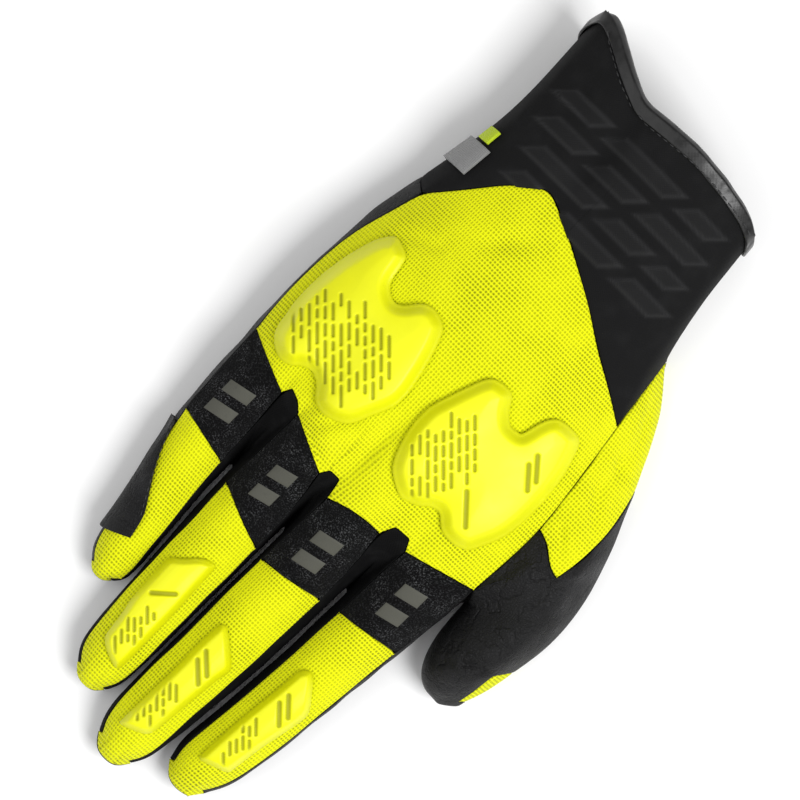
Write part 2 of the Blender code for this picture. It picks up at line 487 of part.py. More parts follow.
def build_thumb(skin, base_count):
    back_start = THUMB_TOP
    base_start = THUMB_TOP + SIDE
    for r in range(ROWS + 1):
        skin.same(("thumb", 0, ROWS - r), ("T", r, 0))
        skin.same(("thumb", 0, base_start + r), ("B", r, base_count - 1))
    for k in range(SIDE - 1):
        skin.same(("thumb", 0, back_start + 1 + k), ("L", k))
        skin.same(("thumb", 0, THUMB_COUNT - 1 - k), ("C", k))
    for m, point in enumerate(GUSSET_RING):
        end = place(point["x"], point["y"], point["z"])
        start = skin.at(("thumb", 0, m))
        for k in range(1, GUSSET_END):
            t = k / GUSSET_END
            middle = mix(start, end, t)
            bulge = math.sin(math.pi * t)
            if back_start <= m <= base_start:
                middle += Vector((-px(GUSSET_BULGE), -py(GUSSET_BULGE * 0.7), 0.0)) * bulge
            if 0 < m < back_start:
                middle.z += pz(4.0) * bulge
            if m == GUSSET_CORNER:
                middle.y -= py(1.2) * math.sin(2.0 * math.pi * t)
            skin.add(("thumb", k, m), middle)
        skin.add(("thumb", GUSSET_END, m), end)
    for number, row in enumerate(THUMB_RINGS):
        ring = GUSSET_END + 1 + number
        inner = Vector((row["inner_x"], row["inner_y"], 0.0))
        outer = Vector((row["outer_x"], row["outer_y"], 0.0))
        walls = mix(row["lift"], row["top"], 0.66)
        chord = (outer - inner).normalized()
        ahead = Vector((chord.y, -chord.x, 0.0)) * row["bow"]
        for m in range(THUMB_TOP + 1):
            t = m / THUMB_TOP
            share = mix(0.05, 0.93, t) - (0.03 if m == THUMB_TOP - 1 else 0.0)
            spot = mix(inner, outer, share) + ahead * math.sin(math.pi * t)
            arch = 1.0 - abs(2.0 * t - 1.0) ** 2.3
            skin.add(("thumb", ring, m), place(spot.x, spot.y, mix(walls, row["top"], arch)))
            spot = mix(outer, inner, mix(0.13, 0.87, t)) + ahead * math.sin(math.pi * t) * 0.8
            skin.add(("thumb", ring, base_start + m), place(spot.x, spot.y, row["lift"]))
        for k, share in ((1, 0.56), (2, 0.22)):
            z = mix(row["lift"], walls, share)
            inset = 0.0 if k == 1 else 0.02
            spot = mix(outer, inner, inset)
            skin.add(("thumb", ring, back_start + k), place(spot.x, spot.y, z))
            spot = mix(inner, outer, inset)
            skin.add(("thumb", ring, THUMB_COUNT - k), place(spot.x, spot.y, z))
    last = GUSSET_END + len(THUMB_RINGS)
    for ring in range(last):
        for m in range(THUMB_COUNT):
            label = "thumb_shell"
            if GUSSET_CORNER <= m < base_start and ring < GUSSET_END:
                label = "thumb_gusset"
            if THUMB_TOP - 1 <= m < base_start and ring >= TIP_PANEL_START:
                label = "thumb_tip_panel"
            after = (m + 1) % THUMB_COUNT
            skin.face(label, ("thumb", ring, m), ("thumb", ring, after),
                      ("thumb", ring + 1, after), ("thumb", ring + 1, m))
    push = Vector((px(THUMB_TIP["depth_x"]), py(THUMB_TIP["depth_y"]), 0.0))
    cap(skin, ("thumb_shell",) * SIDE, "thumb", last, THUMB_TOP, THUMB_COUNT, push)


def build_cuff(skin, top_count, base_count):
    """Rings from the wrist seam to the cuff edge."""
    wrist = [("T", 0, c) for c in range(top_count)]
    wrist += [("R", 0, 1), ("R", 0, 2)]
    wrist += [("B", 0, c) for c in range(base_count)]
    wrist += [("L", 1), ("L", 0)]
    first_x = skin.at(wrist[0]).x
    last_x = skin.at(wrist[top_count - 1]).x
    edge = []
    for c in range(top_count):
        u = (skin.at(wrist[c]).x - first_x) / (last_x - first_x)
        x = mix(CUFF_EDGE[0]["x"], CUFF_EDGE[-1]["x"], u)
        corner = mix(CUFF_HEIGHT["left"], CUFF_HEIGHT["right"], u)
        arch = (1.0 - abs(2.0 * u - 1.0) ** 2.4) ** 0.9
        z = mix(corner, CUFF_HEIGHT["ridge"], arch)
        near = max(0.0, 1.0 - abs(x - CREASE["x"]) / CREASE["reach"])
        z -= CREASE["depth"] * near * near * (3.0 - 2.0 * near)
        edge.append(place(x, polyline_y(CUFF_EDGE, x), z))
    for point in EDGE_PINKY:
        edge.append(place(point["x"], point["y"], point["z"]))
    for c in range(base_count):
        u = c / (base_count - 1)
        edge.append(place(mix(CUFF_BASE["right_x"], CUFF_BASE["left_x"], u),
                          mix(CUFF_BASE["right_y"], CUFF_BASE["left_y"], u),
                          CUFF_HEIGHT["base"]))
    for point in EDGE_THUMB[::-1]:
        edge.append(place(point["x"], point["y"], point["z"]))
    count = len(wrist)
    centre = (px(CUFF_EDGE[0]["x"]) + px(CUFF_EDGE[-1]["x"])) / 2.0
    for m in range(count):
        start = skin.at(wrist[m])
        for k in range(CUFF_ROWS + 1):
            t = k / CUFF_ROWS
            if k == 0:
                skin.same(("cuff", 0, m), wrist[m])
                continue
            spot = mix(start, edge[m], t)
            waist = math.sin(math.pi * t) ** 1.3
            far = (spot.x - centre) / px(42.0)
            if far < 0.0:
                spot.x += px(CUFF_WAIST["left"]) * waist * abs(far) ** 2
            else:
                spot.x -= px(CUFF_WAIST["right"]) * waist * abs(far) ** 2
            skin.add(("cuff", k, m), spot)
    for k in range(CUFF_ROWS):
        for m in range(count):
            after = (m + 1) % count
            skin.face("cuff", ("cuff", k, m), ("cuff", k, after), ("cuff", k + 1, after),
                      ("cuff", k + 1, m))
    return count


class Surface:
    """The finished skin: outward faces, smooth normals and a tree to look down on it."""

    def __init__(self, skin):
        work = bmesh.new()
        corners = [work.verts.new(point) for point in skin.points]
        for face in skin.faces:
            work.faces.new([corners[number] for number in face])
        bmesh.ops.recalc_face_normals(work, faces=work.faces[:])
        work.faces.ensure_lookup_table()
        work.verts.index_update()
        self.faces = [tuple(v.index for v in face.verts) for face in work.faces]
        highest = max(work.faces, key=lambda face: face.calc_center_median().z)
        if highest.normal.z < 0.0:
            self.faces = [face[::-1] for face in self.faces]
        work.free()
        for number, face in enumerate(self.faces):
            start = face.index(skin.faces[number][0])
            self.faces[number] = face[start:] + face[:start]
        self.points = skin.points
        self.labels = skin.labels
        self.triangles = []
        self.owner = []
        for number, face in enumerate(self.faces):
            for k in range(1, len(face) - 1):
                self.triangles.append((face[0], face[k], face[k + 1]))
                self.owner.append(self.labels[number])
        self.normals = [Vector((0.0, 0.0, 0.0)) for _ in self.points]
        for a, b, c in self.triangles:
            pa, pb, pc = self.points[a], self.points[b], self.points[c]
            normal = (pb - pa).cross(pc - pa)
            for number, one, two, three in ((a, pa, pb, pc), (b, pb, pc, pa), (c, pc, pa, pb)):
                corner = (two - one).angle(three - one, 0.0)
                self.normals[number] += normal.normalized() * corner
        self.normals = [normal.normalized() for normal in self.normals]
        self.tree = BVHTree.FromPolygons(self.points, self.triangles)

    def height(self, x, y):
        hit = self.tree.ray_cast(Vector((x, y, 1.0)), Vector((0.0, 0.0, -1.0)))
        return hit[0].z if hit[0] is not None else 0.0


def colour_of(name, paint):
    material = bpy.data.materials.new(name + "_material")
    material.use_nodes = True
    shader = material.node_tree.nodes["Principled BSDF"]
    shader.inputs["Base Color"].default_value = (*paint[0], 1.0)
    shader.inputs["Roughness"].default_value = paint[1]
    shader.inputs["Metallic"].default_value = 0.0
    material.diffuse_color = (*paint[0], 1.0)
    return material


def make_object(name, points, faces, paint):
    mesh = bpy.data.meshes.new(name)
    mesh.from_pydata([tuple(point) for point in points], [], faces)
    mesh.update()
    body = bpy.data.objects.new(name, mesh)
    bpy.context.scene.collection.objects.link(body)
    mesh.materials.append(colour_of(name, paint))
    return body


def triangulate(face):
    return [(face[0], face[k], face[k + 1]) for k in range(1, len(face) - 1)]


def panel(surface, name, thickness, paint, free_edge=()):
    """Solid from the faces labelled with the name, drawn back by half the gap at each seam."""
    faces = [face for face, label in zip(surface.faces, surface.labels) if label == name]
    edges = {}
    for face in faces:
        for k, one in enumerate(face):
            two = face[(k + 1) % len(face)]
            edges[one, two] = face
    border = [pair for pair in edges if (pair[1], pair[0]) not in edges]
    shift = {}
    for one, two in border:
        if one in free_edge and two in free_edge:
            continue
        face = edges[one, two]
        a, b = surface.points[one], surface.points[two]
        normal = (surface.normals[one] + surface.normals[two]).normalized()
        inward = normal.cross(b - a).normalized()
        middle = sum((surface.points[v] for v in face), Vector()) / len(face)
        if inward.dot(middle - a) < 0.0:
            inward = -inward
        for number in (one, two):
            shift.setdefault(number, []).append(inward)
    used = sorted({number for face in faces for number in face})
    index = {number: k for k, number in enumerate(used)}
    outer = []
    inner = []
    for number in used:
        point = surface.points[number].copy()
        normal = surface.normals[number]
        pulls = shift.get(number)
        if pulls:
            total = sum(pulls, Vector())
            length = total.length
            if length > 1e-6:
                direction = total / length
                share = max(0.35, sum(direction.dot(pull) for pull in pulls) / len(pulls))
                point += direction * (SEAM_GAP / 2.0 / share)
        outer.append(point)
        inner.append(point - normal * thickness)
    count = len(used)
    solid = []
    for face in faces:
        for a, b, c in triangulate(face):
            solid.append((index[a], index[b], index[c]))
            solid.append((index[a] + count, index[c] + count, index[b] + count))
    for one, two in border:
        a, b = index[one], index[two]
        if one < two:
            solid.append((a, a + count, b + count))
            solid.append((a, b + count, b))
        else:
            solid.append((a, a + count, b))
            solid.append((b, a + count, b + count))
    return make_object(name, outer + inner, solid, paint)


def plan(points):
    return [Vector((px(point["x"]), py(point["y"]))) for point in points]


def outline_distance(outline, spot):
    best = 1.0
    count = len(outline)
    for k in range(count):
        a = outline[k]
        b = outline[(k + 1) % count]
        span = b - a
        t = max(0.0, min(1.0, (spot - a).dot(span) / span.length_squared))
        best = min(best, (a + span * t - spot).length)
    return best


def inside(outline, spot):
    result = False
    count = len(outline)
    for k in range(count):
        a = outline[k]
        b = outline[(k + 1) % count]
        if (a.y > spot.y) != (b.y > spot.y):
            if spot.x < (b.x - a.x) * (spot.y - a.y) / (b.y - a.y) + a.x:
                result = not result
    return result


def inset(outline, amount):
    """Outline moved inwards, points that come too near an edge left out."""
    area = 0.0
    count = len(outline)
    for k in range(count):
        area += outline[k].cross(outline[(k + 1) % count])
    sign = 1.0 if area > 0.0 else -1.0
    moved = []
    for k in range(count):
        before = (outline[k] - outline[k - 1]).normalized()
        after = (outline[(k + 1) % count] - outline[k]).normalized()
        along = (before + after).normalized()
        spot = outline[k] + Vector((-along.y, along.x)) * sign * amount
        if outline_distance(outline, spot) > amount * 0.93:
            moved.append(spot)
    return moved


def moulded(surface, name, points, rim, crown, slope, step, paint):
    """Guard that follows the skin below it: low rim, sloped border, raised middle."""
    outline = plan(points)
    count = len(outline)
    ring = inset(outline, slope)
    spots = outline + ring
    edges = [(k, (k + 1) % count) for k in range(count)]
    core = []
    low_x = min(spot.x for spot in outline)
    high_x = max(spot.x for spot in outline)
    low_y = min(spot.y for spot in outline)
    high_y = max(spot.y for spot in outline)
    across = int((high_x - low_x) / step) + 1
    along = int((high_y - low_y) / step) + 1
    for i in range(across):
        for j in range(along):
            spot = Vector((low_x + (i + 0.5) * step, low_y + (j + 0.5) * step))
            if inside(outline, spot) and outline_distance(outline, spot) > slope + step * 0.45:
                core.append(spot)
    result = delaunay_2d_cdt(spots + core, edges, [], 1, 1e-7)
    flat = [Vector(spot) for spot in result[0]]
    triangles = []
    for face in result[2]:
        a, b, c = (flat[number] for number in face)
        middle = (a + b + c) / 3.0
        if not inside(outline, middle):
            continue
        triangles.append(tuple(face) if (b - a).cross(c - a) > 0.0 else tuple(face)[::-1])
    seat = [surface.height(spot.x, spot.y) + SEAT_GAP for spot in flat]
    for _ in range(4):
        for face in triangles:
            for shares in SAMPLES:
                spot = sum((flat[n] * s for n, s in zip(face, shares)), Vector((0.0, 0.0)))
                now = sum(seat[n] * s for n, s in zip(face, shares))
                short = surface.height(spot.x, spot.y) + SEAT_GAP - now
                if short > 1e-6:
                    for n, s in zip(face, shares):
                        if s > 0.0:
                            seat[n] += short
    upper = []
    lower = []
    for spot, base in zip(flat, seat):
        share = min(1.0, outline_distance(outline, spot) / slope)
        share = share * share * (3.0 - 2.0 * share)
        upper.append(Vector((spot.x, spot.y, base + mix(rim, crown, share))))
        lower.append(Vector((spot.x, spot.y, base)))
    total = len(flat)
    solid = []
    used = {}
    for a, b, c in triangles:
        solid.append((a, b, c))
        solid.append((a + total, c + total, b + total))
        for pair in ((a, b), (b, c), (c, a)):
            used[pair] = True
    for a, b in used:
        if (b, a) not in used:
            solid.append((a, a + total, b + total))
            solid.append((a, b + total, b))
    return make_object(name, upper + lower, solid, paint)


def sheet_on(surface, name, grid, normals, gap, thickness, paint):
    """Patch from a grid of points on the skin, raised where a fold of the skin would touch it."""
    rows = len(grid)
    columns = len(grid[0])
    lower = []
    arrows = []
    for i in range(rows):
        for j in range(columns):
            lower.append(grid[i][j] + normals[i][j] * gap)
            arrows.append(normals[i][j])
    tiles = []
    for i in range(rows - 1):
        for j in range(columns - 1):
            a = i * columns + j
            tiles += triangulate((a, a + 1, a + columns + 1, a + columns))
    for _ in range(5):
        for tile in tiles:
            for shares in SAMPLES:
                spot = sum((lower[n] * s for n, s in zip(tile, shares)), Vector())
                near = surface.tree.find_nearest(spot)
                short = gap - (spot - near[0]).dot(near[1])
                if short > 1e-6:
                    for n, s in zip(tile, shares):
                        if s > 0.0:
                            lower[n] += arrows[n] * min(short, gap)
    upper = [point + arrow * thickness for point, arrow in zip(lower, arrows)]
    count = rows * columns
    solid = []
    for i in range(rows - 1):
        for j in range(columns - 1):
            a = i * columns + j
            for one in triangulate((a, a + 1, a + columns + 1, a + columns)):
                solid.append(one)
                solid.append(tuple(n + count for n in one[::-1]))
    loop = [j for j in range(columns)]
    loop += [i * columns + columns - 1 for i in range(1, rows)]
    loop += [(rows - 1) * columns + j for j in range(columns - 2, -1, -1)]
    loop += [i * columns for i in range(rows - 2, 0, -1)]
    for k, a in enumerate(loop):
        b = loop[(k + 1) % len(loop)]
        solid.append((b, a, a + count))
        solid.append((b, a + count, b + count))
    body = make_object(name, lower + upper, solid, paint)
    work = bmesh.new()
    work.from_mesh(body.data)
    bmesh.ops.recalc_face_normals(work, faces=work.faces[:])
    work.to_mesh(body.data)
    work.free()
    return body


def column_at(skin, surface, name, first, last, column, y):
    """Point and normal on a tube where a column line, whole or not, crosses y."""
    low = math.floor(column)
    share = column - low
    spots = []
    for ring in range(first, last + 1):
        here = skin.names[name, ring, low]
        there = skin.names[name, ring, low + 1] if share > 0.0 else here
        spots.append((mix(surface.points[here], surface.points[there], share),
                      mix(surface.normals[here], surface.normals[there], share)))
    for one, two in zip(spots, spots[1:]):
        low_y = min(one[0].y, two[0].y)
        high_y = max(one[0].y, two[0].y)
        if low_y <= y <= high_y:
            t = (y - one[0].y) / (two[0].y - one[0].y)
            return mix(one[0], two[0], t), mix(one[1], two[1], t).normalized()
    return spots[-1][0], spots[-1][1].normalized()


def build_patch(skin, surface):
    grid = []
    normals = []
    corner = BASE_START
    for row in LEAF:
        points = []
        arrows = []
        start = row["across"]
        stops = [start, mix(start, TOP, 0.5), float(TOP)]
        stops += [TOP + 1.0, TOP + 2.0, float(corner)]
        for k, column in enumerate(stops):
            share = min(1.0, k / 2.0)
            y = py(mix(row["y"], row["end_y"], share))
            point, arrow = column_at(skin, surface, "pinky", 1, LAST, column, y)
            points.append(point)
            arrows.append(arrow)
        grid.append(points)
        normals.append(arrows)
    sheet_on(surface, "pinky_patch", grid, normals, SEAT_GAP, PATCH, BLACK_LEATHER)


def build_label(skin, surface, name, columns, start_y, end_y, rows, paint):
    grid = []
    normals = []
    for i in range(rows + 1):
        y = py(mix(start_y, end_y, i / rows))
        points = []
        arrows = []
        for column in columns:
            point, arrow = column_at(skin, surface, "cuff", 0, CUFF_ROWS, column, y)
            points.append(point)
            arrows.append(arrow)
        grid.append(points)
        normals.append(arrows)
    sheet_on(surface, name, grid, normals, SEAT_GAP, PATCH, paint)


def build_binding(skin, surface, count):
    """U-shaped strip round the cuff edge."""
    gap = SEAT_GAP * 1.5
    wall = BINDING_WALL
    depth = NEOPRENE
    section = (
        (-BINDING_WIDTH, gap), (-BINDING_WIDTH, gap + wall * 0.8), (gap * 0.5, gap + wall),
        (gap + wall, -depth * 0.2), (gap + wall, -depth * 0.8), (gap * 0.5, -depth - gap - wall),
        (-BINDING_WIDTH, -depth - gap - wall * 0.8), (-BINDING_WIDTH, -depth - gap),
        (gap, -depth - gap), (gap, gap))
    size = len(section)
    points = []
    for m in range(count):
        end = surface.points[skin.names["cuff", CUFF_ROWS, m]]
        before = surface.points[skin.names["cuff", CUFF_ROWS - 1, m]]
        arrow = surface.normals[skin.names["cuff", CUFF_ROWS, m]]
        along = (end - before)
        along = (along - arrow * along.dot(arrow)).normalized()
        slope = (end - before).normalized()
        for s, n in section:
            direction = slope if s < 0.0 else along
            points.append(end + direction * s + arrow * n)
    solid = []
    for m in range(count):
        after = (m + 1) % count
        for k in range(size):
            nxt = (k + 1) % size
            solid += triangulate((m * size + k, m * size + nxt, after * size + nxt,
                                  after * size + k))
    body = make_object("cuff_binding", points, solid, BLACK_BINDING)
    work = bmesh.new()
    work.from_mesh(body.data)
    bmesh.ops.recalc_face_normals(work, faces=work.faces[:])
    work.to_mesh(body.data)
    work.free()


def main():
    for old in list(bpy.data.objects):
        bpy.data.objects.remove(old, do_unlink=True)
    skin = Skin()
    top_count, base_count = build_hand(skin)
    build_fingers(skin)
    build_thumb(skin, base_count)
    cuff_count = build_cuff(skin, top_count, base_count)
    surface = Surface(skin)
    mouth = {skin.names["cuff", CUFF_ROWS, m] for m in range(cuff_count)}
    panel(surface, "back_panel", KNIT, YELLOW_KNIT)
    for name in FINGER_ORDER:
        panel(surface, "band_" + name, KNIT, BLACK_BAND)
        panel(surface, "back_" + name, KNIT, YELLOW_KNIT)
    for number in range(3):
        label = "fourchette_" + "_".join(FINGER_ORDER[number:number + 2])
        panel(surface, label, SIDE_CLOTH, BLACK_CLOTH)
    panel(surface, "palm", LEATHER, BLACK_LEATHER)
    panel(surface, "thumb_shell", LEATHER, BLACK_LEATHER)
    panel(surface, "thumb_gusset", KNIT, YELLOW_KNIT)
    panel(surface, "thumb_tip_panel", KNIT, YELLOW_KNIT)
    panel(surface, "cuff", NEOPRENE, BLACK_NEOPRENE, mouth)
    build_binding(skin, surface, cuff_count)
    step = 0.0065
    moulded(surface, "knuckle_guard_index", KNUCKLE_INDEX, KNUCKLE_RIM, KNUCKLE_CROWN,
            KNUCKLE_SLOPE, step, YELLOW_MOULD)
    moulded(surface, "knuckle_guard_pinky", KNUCKLE_PINKY, KNUCKLE_RIM, KNUCKLE_CROWN,
            KNUCKLE_SLOPE, step, YELLOW_MOULD)
    moulded(surface, "guard_index", GUARD_INDEX, FINGER_RIM, FINGER_CROWN, FINGER_SLOPE,
            step, YELLOW_MOULD)
    moulded(surface, "guard_middle", GUARD_MIDDLE, FINGER_RIM, FINGER_CROWN, FINGER_SLOPE,
            step, YELLOW_MOULD)
    moulded(surface, "guard_ring", GUARD_RING, FINGER_RIM, FINGER_CROWN, FINGER_SLOPE,
            step, YELLOW_MOULD)
    build_patch(skin, surface)
    right = top_count - 1
    build_label(skin, surface, "cuff_badge", (right - 1.4, right - 1.0, right, right + 1.0),
                -59.0, -69.0, 2, GRAY_BADGE)
    build_label(skin, surface, "badge_tab", (right - 0.6, float(right), right + 0.5),
                -70.0, -75.0, 1, GREEN_TAB)


main()
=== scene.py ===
"""Looks of the riding glove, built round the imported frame."""
import math
import random

import bmesh
import bpy
import numpy as np
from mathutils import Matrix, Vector
from mathutils.bvhtree import BVHTree


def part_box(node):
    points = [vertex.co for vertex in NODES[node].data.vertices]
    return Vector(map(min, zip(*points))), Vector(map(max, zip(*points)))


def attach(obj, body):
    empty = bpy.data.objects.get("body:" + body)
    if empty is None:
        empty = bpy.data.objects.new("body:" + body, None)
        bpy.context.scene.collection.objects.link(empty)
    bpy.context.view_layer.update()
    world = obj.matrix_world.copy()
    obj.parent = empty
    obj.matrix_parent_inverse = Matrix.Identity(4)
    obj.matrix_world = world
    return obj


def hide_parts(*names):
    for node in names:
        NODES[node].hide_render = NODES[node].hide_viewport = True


bl_info = {
    "name": "Riding glove",
    "version": (1, 0, 0),
    "blender": (4, 5, 0),
    "location": "View3D > Sidebar > Glove",
    "description": "Dresses the frame of a riding glove in cloth, leather and moulded guards",
    "category": "Object",
}

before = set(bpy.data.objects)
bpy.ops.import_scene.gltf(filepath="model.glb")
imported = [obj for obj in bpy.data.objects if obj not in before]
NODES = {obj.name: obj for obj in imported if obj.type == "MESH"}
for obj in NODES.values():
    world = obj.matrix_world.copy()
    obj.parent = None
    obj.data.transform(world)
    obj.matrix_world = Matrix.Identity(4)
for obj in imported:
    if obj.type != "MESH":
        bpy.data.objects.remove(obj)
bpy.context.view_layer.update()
FINGERS = ("index", "middle", "ring", "pinky")
MM = 0.001
MADE = {}


class GloveSizes(bpy.types.PropertyGroup):
    """Sizes of the cloth and of what is moulded into the guards"""
    course: bpy.props.FloatProperty(
        name="Knit course", description="Distance between two courses of the knit along the hand",
        default=1.14 * MM, min=0.0003, unit="LENGTH")
    wale: bpy.props.FloatProperty(
        name="Knit wale", description="Distance between two wales of the knit across the hand",
        default=1.02 * MM, min=0.0003, unit="LENGTH")
    dash_width: bpy.props.FloatProperty(
        name="Dash width", description="Width of one dash sunk into a guard",
        default=0.95 * MM, min=0.0002, unit="LENGTH")
    dash_depth: bpy.props.FloatProperty(
        name="Dash depth", description="Depth of one dash sunk into a guard",
        default=0.75 * MM, min=0.0, unit="LENGTH")
    rib_height: bpy.props.FloatProperty(
        name="Rib height", description="How far the ribs stand out of the cuff",
        default=0.9 * MM, min=0.0, unit="LENGTH")
    mould_cell: bpy.props.FloatProperty(
        name="Guard cell", description="Edge of one quad on a guard",
        default=0.34 * MM, min=0.0002, unit="LENGTH")
    stitch: bpy.props.FloatProperty(
        name="Stitch", description="Length of one stitch",
        default=2.4 * MM, min=0.0005, unit="LENGTH")
    picture_width: bpy.props.FloatProperty(
        name="Picture width", description="Width of the view at the glove",
        default=0.232, min=0.05, unit="LENGTH")
    picture_turn: bpy.props.FloatProperty(
        name="Picture turn", description="Turn of the picture about the line of sight",
        default=math.radians(225.0), subtype="ANGLE")


class GloveColours(bpy.types.PropertyGroup):
    """Colours of the cloth, leather and guards"""
    knit: bpy.props.FloatVectorProperty(
        name="Knit", description="Yellow knit", subtype="COLOR", size=3,
        default=(0.745, 0.775, 0.003), min=0.0, max=1.0)
    # Painted shade: the yellow knit darkened where its hollows lie in shade.
    knit_hollow_shade: bpy.props.FloatVectorProperty(
        name="Knit hollows", description="Yellow knit in its hollows", subtype="COLOR", size=3,
        default=(0.270, 0.290, 0.002), min=0.0, max=1.0)
    mould: bpy.props.FloatVectorProperty(
        name="Guard", description="Moulded yellow guard", subtype="COLOR", size=3,
        default=(0.790, 0.800, 0.002), min=0.0, max=1.0)
    # Painted shade at the bottom of a sunk dash in a guard.
    mould_dash_shade: bpy.props.FloatVectorProperty(
        name="Guard dashes", description="Bottom of a sunk dash", subtype="COLOR", size=3,
        default=(0.330, 0.335, 0.002), min=0.0, max=1.0)
    fuzz: bpy.props.FloatVectorProperty(
        name="Band", description="Black fuzzy band", subtype="COLOR", size=3,
        default=(0.0028, 0.0028, 0.0030), min=0.0, max=1.0)
    leather: bpy.props.FloatVectorProperty(
        name="Leather", description="Black leather", subtype="COLOR", size=3,
        default=(0.0030, 0.0030, 0.0032), min=0.0, max=1.0)
    neoprene: bpy.props.FloatVectorProperty(
        name="Cuff", description="Black stretch cuff", subtype="COLOR", size=3,
        default=(0.0060, 0.0060, 0.0062), min=0.0, max=1.0)
    binding: bpy.props.FloatVectorProperty(
        name="Binding", description="Glossy binding of the cuff", subtype="COLOR", size=3,
        default=(0.006, 0.006, 0.006), min=0.0, max=1.0)
    badge: bpy.props.FloatVectorProperty(
        name="Badge", description="Gray badge", subtype="COLOR", size=3,
        default=(0.21, 0.21, 0.21), min=0.0, max=1.0)
    tab: bpy.props.FloatVectorProperty(
        name="Tab", description="Green tab", subtype="COLOR", size=3,
        default=(0.42, 0.55, 0.010), min=0.0, max=1.0)
    floor: bpy.props.FloatVectorProperty(
        name="Floor", description="Plain pale floor", subtype="COLOR", size=3,
        default=(0.92, 0.92, 0.92), min=0.0, max=1.0)


def sizes():
    """Sizes set for this scene."""
    return bpy.context.scene.glove_sizes


def colours():
    """Colours set for this scene."""
    return bpy.context.scene.glove_colours


class Value:
    """A socket that takes part in sums; each operator adds a Math node."""

    def __init__(self, paint, socket):
        self.paint = paint
        self.socket = socket

    def maths(self, operation, *others):
        return self.paint.node("ShaderNodeMath", {"operation": operation}, (self, *others))

    def __add__(self, other):
        return self.maths("ADD", other)

    def __radd__(self, other):
        return self.maths("ADD", other)

    def __sub__(self, other):
        return self.maths("SUBTRACT", other)

    def __rsub__(self, other):
        return self.paint.node("ShaderNodeMath", {"operation": "SUBTRACT"}, (other, self))

    def __mul__(self, other):
        return self.maths("MULTIPLY", other)

    def __rmul__(self, other):
        return self.maths("MULTIPLY", other)

    def __truediv__(self, other):
        return self.maths("DIVIDE", other)

    def cosine(self):
        return self.maths("COSINE")

    def absolute(self):
        return self.maths("ABSOLUTE")

    def power(self, other):
        return self.maths("POWER", other)

    def smooth(self, low, high):
        return self.paint.node(
            "ShaderNodeMapRange", {"interpolation_type": "SMOOTHSTEP"},
            {"Value": self, "From Min": low, "From Max": high}, "Result")


class Paint:
    """One material of nodes round a Principled shader."""

    def __init__(self, name, colour, roughness, **constants):
        self.material = bpy.data.materials.new(name)
        self.material.use_nodes = True
        self.tree = self.material.node_tree
        self.shader = self.tree.nodes["Principled BSDF"]
        self.shader.inputs["Base Color"].default_value = (*colour, 1.0)
        self.shader.inputs["Roughness"].default_value = roughness
        for key, value in constants.items():
            socket = key.replace("_", " ").title().replace("Ior", "IOR")
            self.shader.inputs[socket].default_value = value
        self.material.diffuse_color = (*colour, 1.0)

    def link(self, socket, value):
        if isinstance(value, Value):
            self.tree.links.new(value.socket, socket)
        else:
            socket.default_value = value

    def node(self, kind, settings, values, output=0):
        made = self.tree.nodes.new(kind)
        for key, value in settings.items():
            setattr(made, key, value)
        pairs = values.items() if isinstance(values, dict) else enumerate(values)
        for key, value in pairs:
            self.link(made.inputs[key], value)
        return Value(self, made.outputs[output])

    def cloth_place(self):
        """Place on the cloth in millimetres, as vector, across and along."""
        place = self.node("ShaderNodeAttribute", {"attribute_name": "cloth"}, {}, "Vector")
        split = self.tree.nodes.new("ShaderNodeSeparateXYZ")
        self.link(split.inputs[0], place)
        return place, Value(self, split.outputs[0]), Value(self, split.outputs[1])

    def number(self, name):
        return self.node("ShaderNodeAttribute", {"attribute_name": name}, {}, "Fac")

    def noise(self, place, scale, detail=2.0, roughness=0.5):
        return self.node("ShaderNodeTexNoise", {},
                         {"Vector": place, "Scale": scale, "Detail": detail,
                          "Roughness": roughness}, "Fac")

    def cells(self, place, scale, feature="F1"):
        return self.node("ShaderNodeTexVoronoi", {"feature": feature},
                         {"Vector": place, "Scale": scale}, "Distance")

    def blend(self, share, first, second):
        made = self.tree.nodes.new("ShaderNodeMix")
        made.data_type = "RGBA"
        self.link(made.inputs[0], share)
        for slot, colour in ((6, first), (7, second)):
            if not isinstance(colour, Value):
                colour = (*tuple(colour)[:3], 1.0)
            self.link(made.inputs[slot], colour)
        return Value(self, made.outputs[2])

    def colour(self, value):
        self.link(self.shader.inputs["Base Color"], value)

    def rough(self, value):
        self.link(self.shader.inputs["Roughness"], value)

    def relief(self, height, depth, strength=1.0):
        bump = self.node("ShaderNodeBump", {},
                         {"Height": height, "Distance": depth, "Strength": strength}, "Normal")
        self.link(self.shader.inputs["Normal"], bump)


